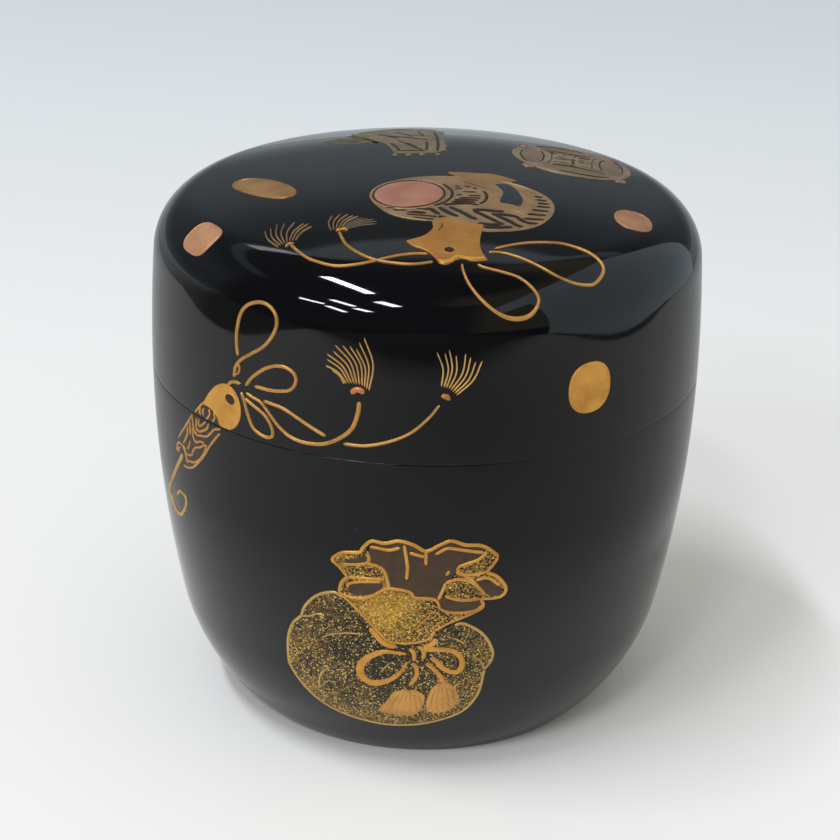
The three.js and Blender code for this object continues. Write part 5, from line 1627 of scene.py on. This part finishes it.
# Painted shade: the floor's colour darkens and cools towards the back; far off, painted light brightens it
# again
colour = floor.ramp(floor.reach(behind, FLOOR_TONE_REACHES), tones)
colour = floor.blend(floor.reach(from_foot, FAR_FLOOR_REACHES), colour, ink(*FAR_FLOOR_PAINTED_LIGHT))
right_of_left = floor.sum("GREATER_THAN", right, CLOTH_LEFT * MM)
left_of_right = floor.sum("LESS_THAN", right, CLOTH_RIGHT * MM)
on_cloth = floor.sum("MULTIPLY", right_of_left, left_of_right)
beside_cloth = floor.reach(behind, CLOTH_BACK_FADE, *BESIDE_SHARES)
mirrored_share = floor.sum("MAXIMUM", on_cloth, beside_cloth)
# Painted light and shade in what the lacquer mirrors: brighter close to the foot, darker beyond it, less so
# far behind
painted_light_by_the_foot = floor.reach(from_foot, FOOT_REACHES, *FOOT_SHARES)
far_back = floor.reach(behind, FAR_BACK_REACHES, *FAR_BACK_SHARES)
for share in (
        floor.reach(behind, CLOTH_FRONT_FADE, *FRONT_SHARES),
        floor.reach(from_shade, CLOTH_SHADE_REACHES, *SHADE_SHARES),
        floor.sum("MAXIMUM", painted_light_by_the_foot, far_back)):
    mirrored_share = floor.sum("MULTIPLY", mirrored_share, share)
is_glossy = floor.node("ShaderNodeLightPath").outputs["Is Glossy Ray"]
# Glossy rays see the floor's colour darkened towards black by this painted shade and by the cloth's edges
painted_shade_in_gloss = floor.sum("MULTIPLY", is_glossy, floor.sum("SUBTRACT", 1.0, mirrored_share))
floor.into(floor.blend(painted_shade_in_gloss, colour, BLACK), "Base Color")
floor.into(FLOOR_ROUGHNESS, "Roughness")
floor.into(0.0, "Specular IOR Level")
stage_plane(
    "floor",
    [(-FLOOR_HALF, -FLOOR_HALF, 0), (FLOOR_HALF, -FLOOR_HALF, 0), (FLOOR_HALF, FLOOR_HALF, 0),
     (-FLOOR_HALF, FLOOR_HALF, 0)],
    floor.material)

# A pale board on the right that only the lacquer mirrors; its front end starts higher up. It glows with a
# fixed colour, though it is no lamp: a painted reflection
board_finish = Finish("pale_board")
board_finish.into(BLACK, "Base Color")
board_finish.into(BOARD_GLOW_COLOUR, "Emission Color")
board_finish.into(PLAIN_STRENGTH, "Emission Strength")
board_finish.material.cycles.emission_sampling = "NONE"
for name, front, back, low in BOARDS:
    corners = ((front, low), (back, low), (back, BOARD_TOP), (front, BOARD_TOP))
    board = stage_plane(name, [(BOARD_X, *corner) for corner in corners], board_finish.material)
    board.visible_camera = False
    board.visible_diffuse = False
    board.visible_transmission = False
    board.visible_shadow = False

# The room as glossy rays meet it: the wall's greys by how far up a ray points, and the warmer parts
WALL_GREYS = (
    (0.0, 0.4), (0.03, 0.31), (0.08, 0.24), (0.14, 0.2), (0.3, 0.25), (0.42, 0.25), (0.5, 0.18), (0.6, 0.12),
    (0.645, 0.12), (0.66, 0.46), (0.7, 0.42), (0.72, 0.06), (1.0, 0.03))
WALL_TINT = (0.9, 1.03, 1.12)
DARK_ROOM = (0.02, 0.02, 0.022, 1.0)
BROWN_SIDE = (0.22, 0.18, 0.12, 1.0)
BROWN_CEILING = (0.24, 0.19, 0.12, 1.0)
SOFT_LIGHT = (0.58, 0.57, 0.54, 1.0)
BACKDROP = (206, 215, 220)
SIDEWAYS_FADE = (0.12, 0.5)
SIDEWAYS_DIMMING = 0.45
TURN_TO_BACK = (-0.08, 0.08)
TURN_TO_FRONT = (0.08, -0.08)
TURN_TO_RIGHT = (0.25, 0.4)
UNDER_LAMPS = (0.92, 0.84)
OVER_WALL = (0.71, 0.75)
CEILING_TO_RIGHT = (0.02, 0.2)

world = bpy.data.worlds.new("room")
bpy.context.scene.world = world
world.use_nodes = True
room = Nodes(world.node_tree)
room.tree.nodes.clear()
to_right, to_back, up = room.split(room.node("ShaderNodeTexCoord").outputs["Generated"])
wall_stops = [(height, (*(grey * tint for tint in WALL_TINT), 1.0)) for height, grey in WALL_GREYS]
sideways = room.stretch(room.sum("ABSOLUTE", to_right), *SIDEWAYS_FADE, 0.0, SIDEWAYS_DIMMING)
wall = room.blend(sideways, room.ramp(up, wall_stops), DARK_ROOM)
below_lamps = room.stretch(up, *UNDER_LAMPS)
faces_front = room.stretch(to_back, *TURN_TO_FRONT)
faces_right = room.stretch(to_right, *TURN_TO_RIGHT)
brown_side = room.sum("MULTIPLY", room.sum("MULTIPLY", faces_front, faces_right), below_lamps)
above_wall = room.sum("MULTIPLY", room.stretch(up, *OVER_WALL), below_lamps)
brown_ceiling = room.sum("MULTIPLY", above_wall, room.stretch(to_right, *CEILING_TO_RIGHT))
seen_in_gloss = room.blend(room.stretch(to_back, *TURN_TO_BACK), DARK_ROOM, wall)
seen_in_gloss = room.blend(brown_side, seen_in_gloss, BROWN_SIDE)
seen_in_gloss = room.blend(brown_ceiling, seen_in_gloss, BROWN_CEILING)
ray = room.node("ShaderNodeLightPath").outputs
lit = room.blend(ray["Is Glossy Ray"], SOFT_LIGHT, seen_in_gloss)
background = room.node("ShaderNodeBackground")
room.feed(room.blend(ray["Is Camera Ray"], lit, ink(*BACKDROP)), background.inputs["Color"])
room.feed(background.outputs[0], room.node("ShaderNodeOutputWorld").inputs[0])

# The lamps under the ceiling, 2 m up: middle, run of the length and width as shares of that, and brightness
CEILING = 2.0
LAMP_COLOUR = (0.97, 1.0, 1.08)
LAMPS = (
    ("lamp_near", (-0.37, -0.19), (0.1, -0.49), 0.07, 38.0),
    ("lamp_front_one", (-0.3, -0.88), (0.115, -0.23), 0.1, 30.0),
    ("lamp_front_two", (-0.76, -0.96), (0.1, -0.315), 0.085, 30.0),
    ("lamp_front_three", (-0.72, -1.39), (0.09, -0.24), 0.12, 30.0),
    ("lamp_left_one", (-1.21, -0.96), (0.195, -0.27), 0.1, 30.0),
    ("lamp_left_two", (-1.17, -1.5), (0.0, -0.5), 0.12, 30.0),
    ("lamp_soft", (-0.44, 0.88), (0.24, 0.09), 0.15, 1.9))


def ceiling_lamp(name, middle, run, width, brightness):
    """A flat lamp that faces straight down and that the camera can't see. Its power is its brightness times
    pi times its area."""
    light = bpy.data.lights.new(name, "AREA")
    light.shape = "RECTANGLE"
    light.size = math.hypot(*run) * CEILING
    light.size_y = width * CEILING
    light.energy = brightness * math.pi * light.size * light.size_y
    light.color = LAMP_COLOUR
    lamp = bpy.data.objects.new(name, light)
    bpy.context.scene.collection.objects.link(lamp)
    turn = Matrix.Rotation(math.atan2(run[1], run[0]), 4, "Z")
    lamp.matrix_world = Matrix.Translation((middle[0] * CEILING, middle[1] * CEILING, CEILING)) @ turn
    lamp.visible_camera = False


for lamp_row in LAMPS:
    ceiling_lamp(*lamp_row)

# The photograph's camera: it looks at the middle of the caddy's height from in front and above
elevation = math.radians(CAMERA_ELEVATION)
roll = math.radians(CAMERA_ROLL)
back = Vector((0, -math.cos(elevation), math.sin(elevation)))
side = Vector((1, 0, 0))
above = Vector((0, math.sin(elevation), math.cos(elevation)))
across = math.cos(roll) * side + math.sin(roll) * above
upward = -math.sin(roll) * side + math.cos(roll) * above
target = Vector((0, 0, HEIGHT / 2 * MM))
camera_data = bpy.data.cameras.new("camera")
camera_data.sensor_width = SENSOR_WIDTH
camera_data.lens = CAMERA_FOCAL_PIXELS / FRAME_WIDTH * SENSOR_WIDTH
camera_data.shift_x = -(CAMERA_CENTRE_X - FRAME_WIDTH / 2) / FRAME_WIDTH
camera_data.shift_y = (CAMERA_CENTRE_Y - FRAME_WIDTH / 2) / FRAME_WIDTH
camera_data.clip_start = MM
camera_data.clip_end = CLIP_END
camera = bpy.data.objects.new("camera", camera_data)
bpy.context.scene.collection.objects.link(camera)
camera.matrix_world = Matrix.Translation(target + back * CAMERA_DISTANCE * MM) @ Matrix(
    (across, upward, back)).transposed().to_4x4()
bpy.context.scene.camera = camera
bpy.context.scene.view_settings.view_transform = "Standard"
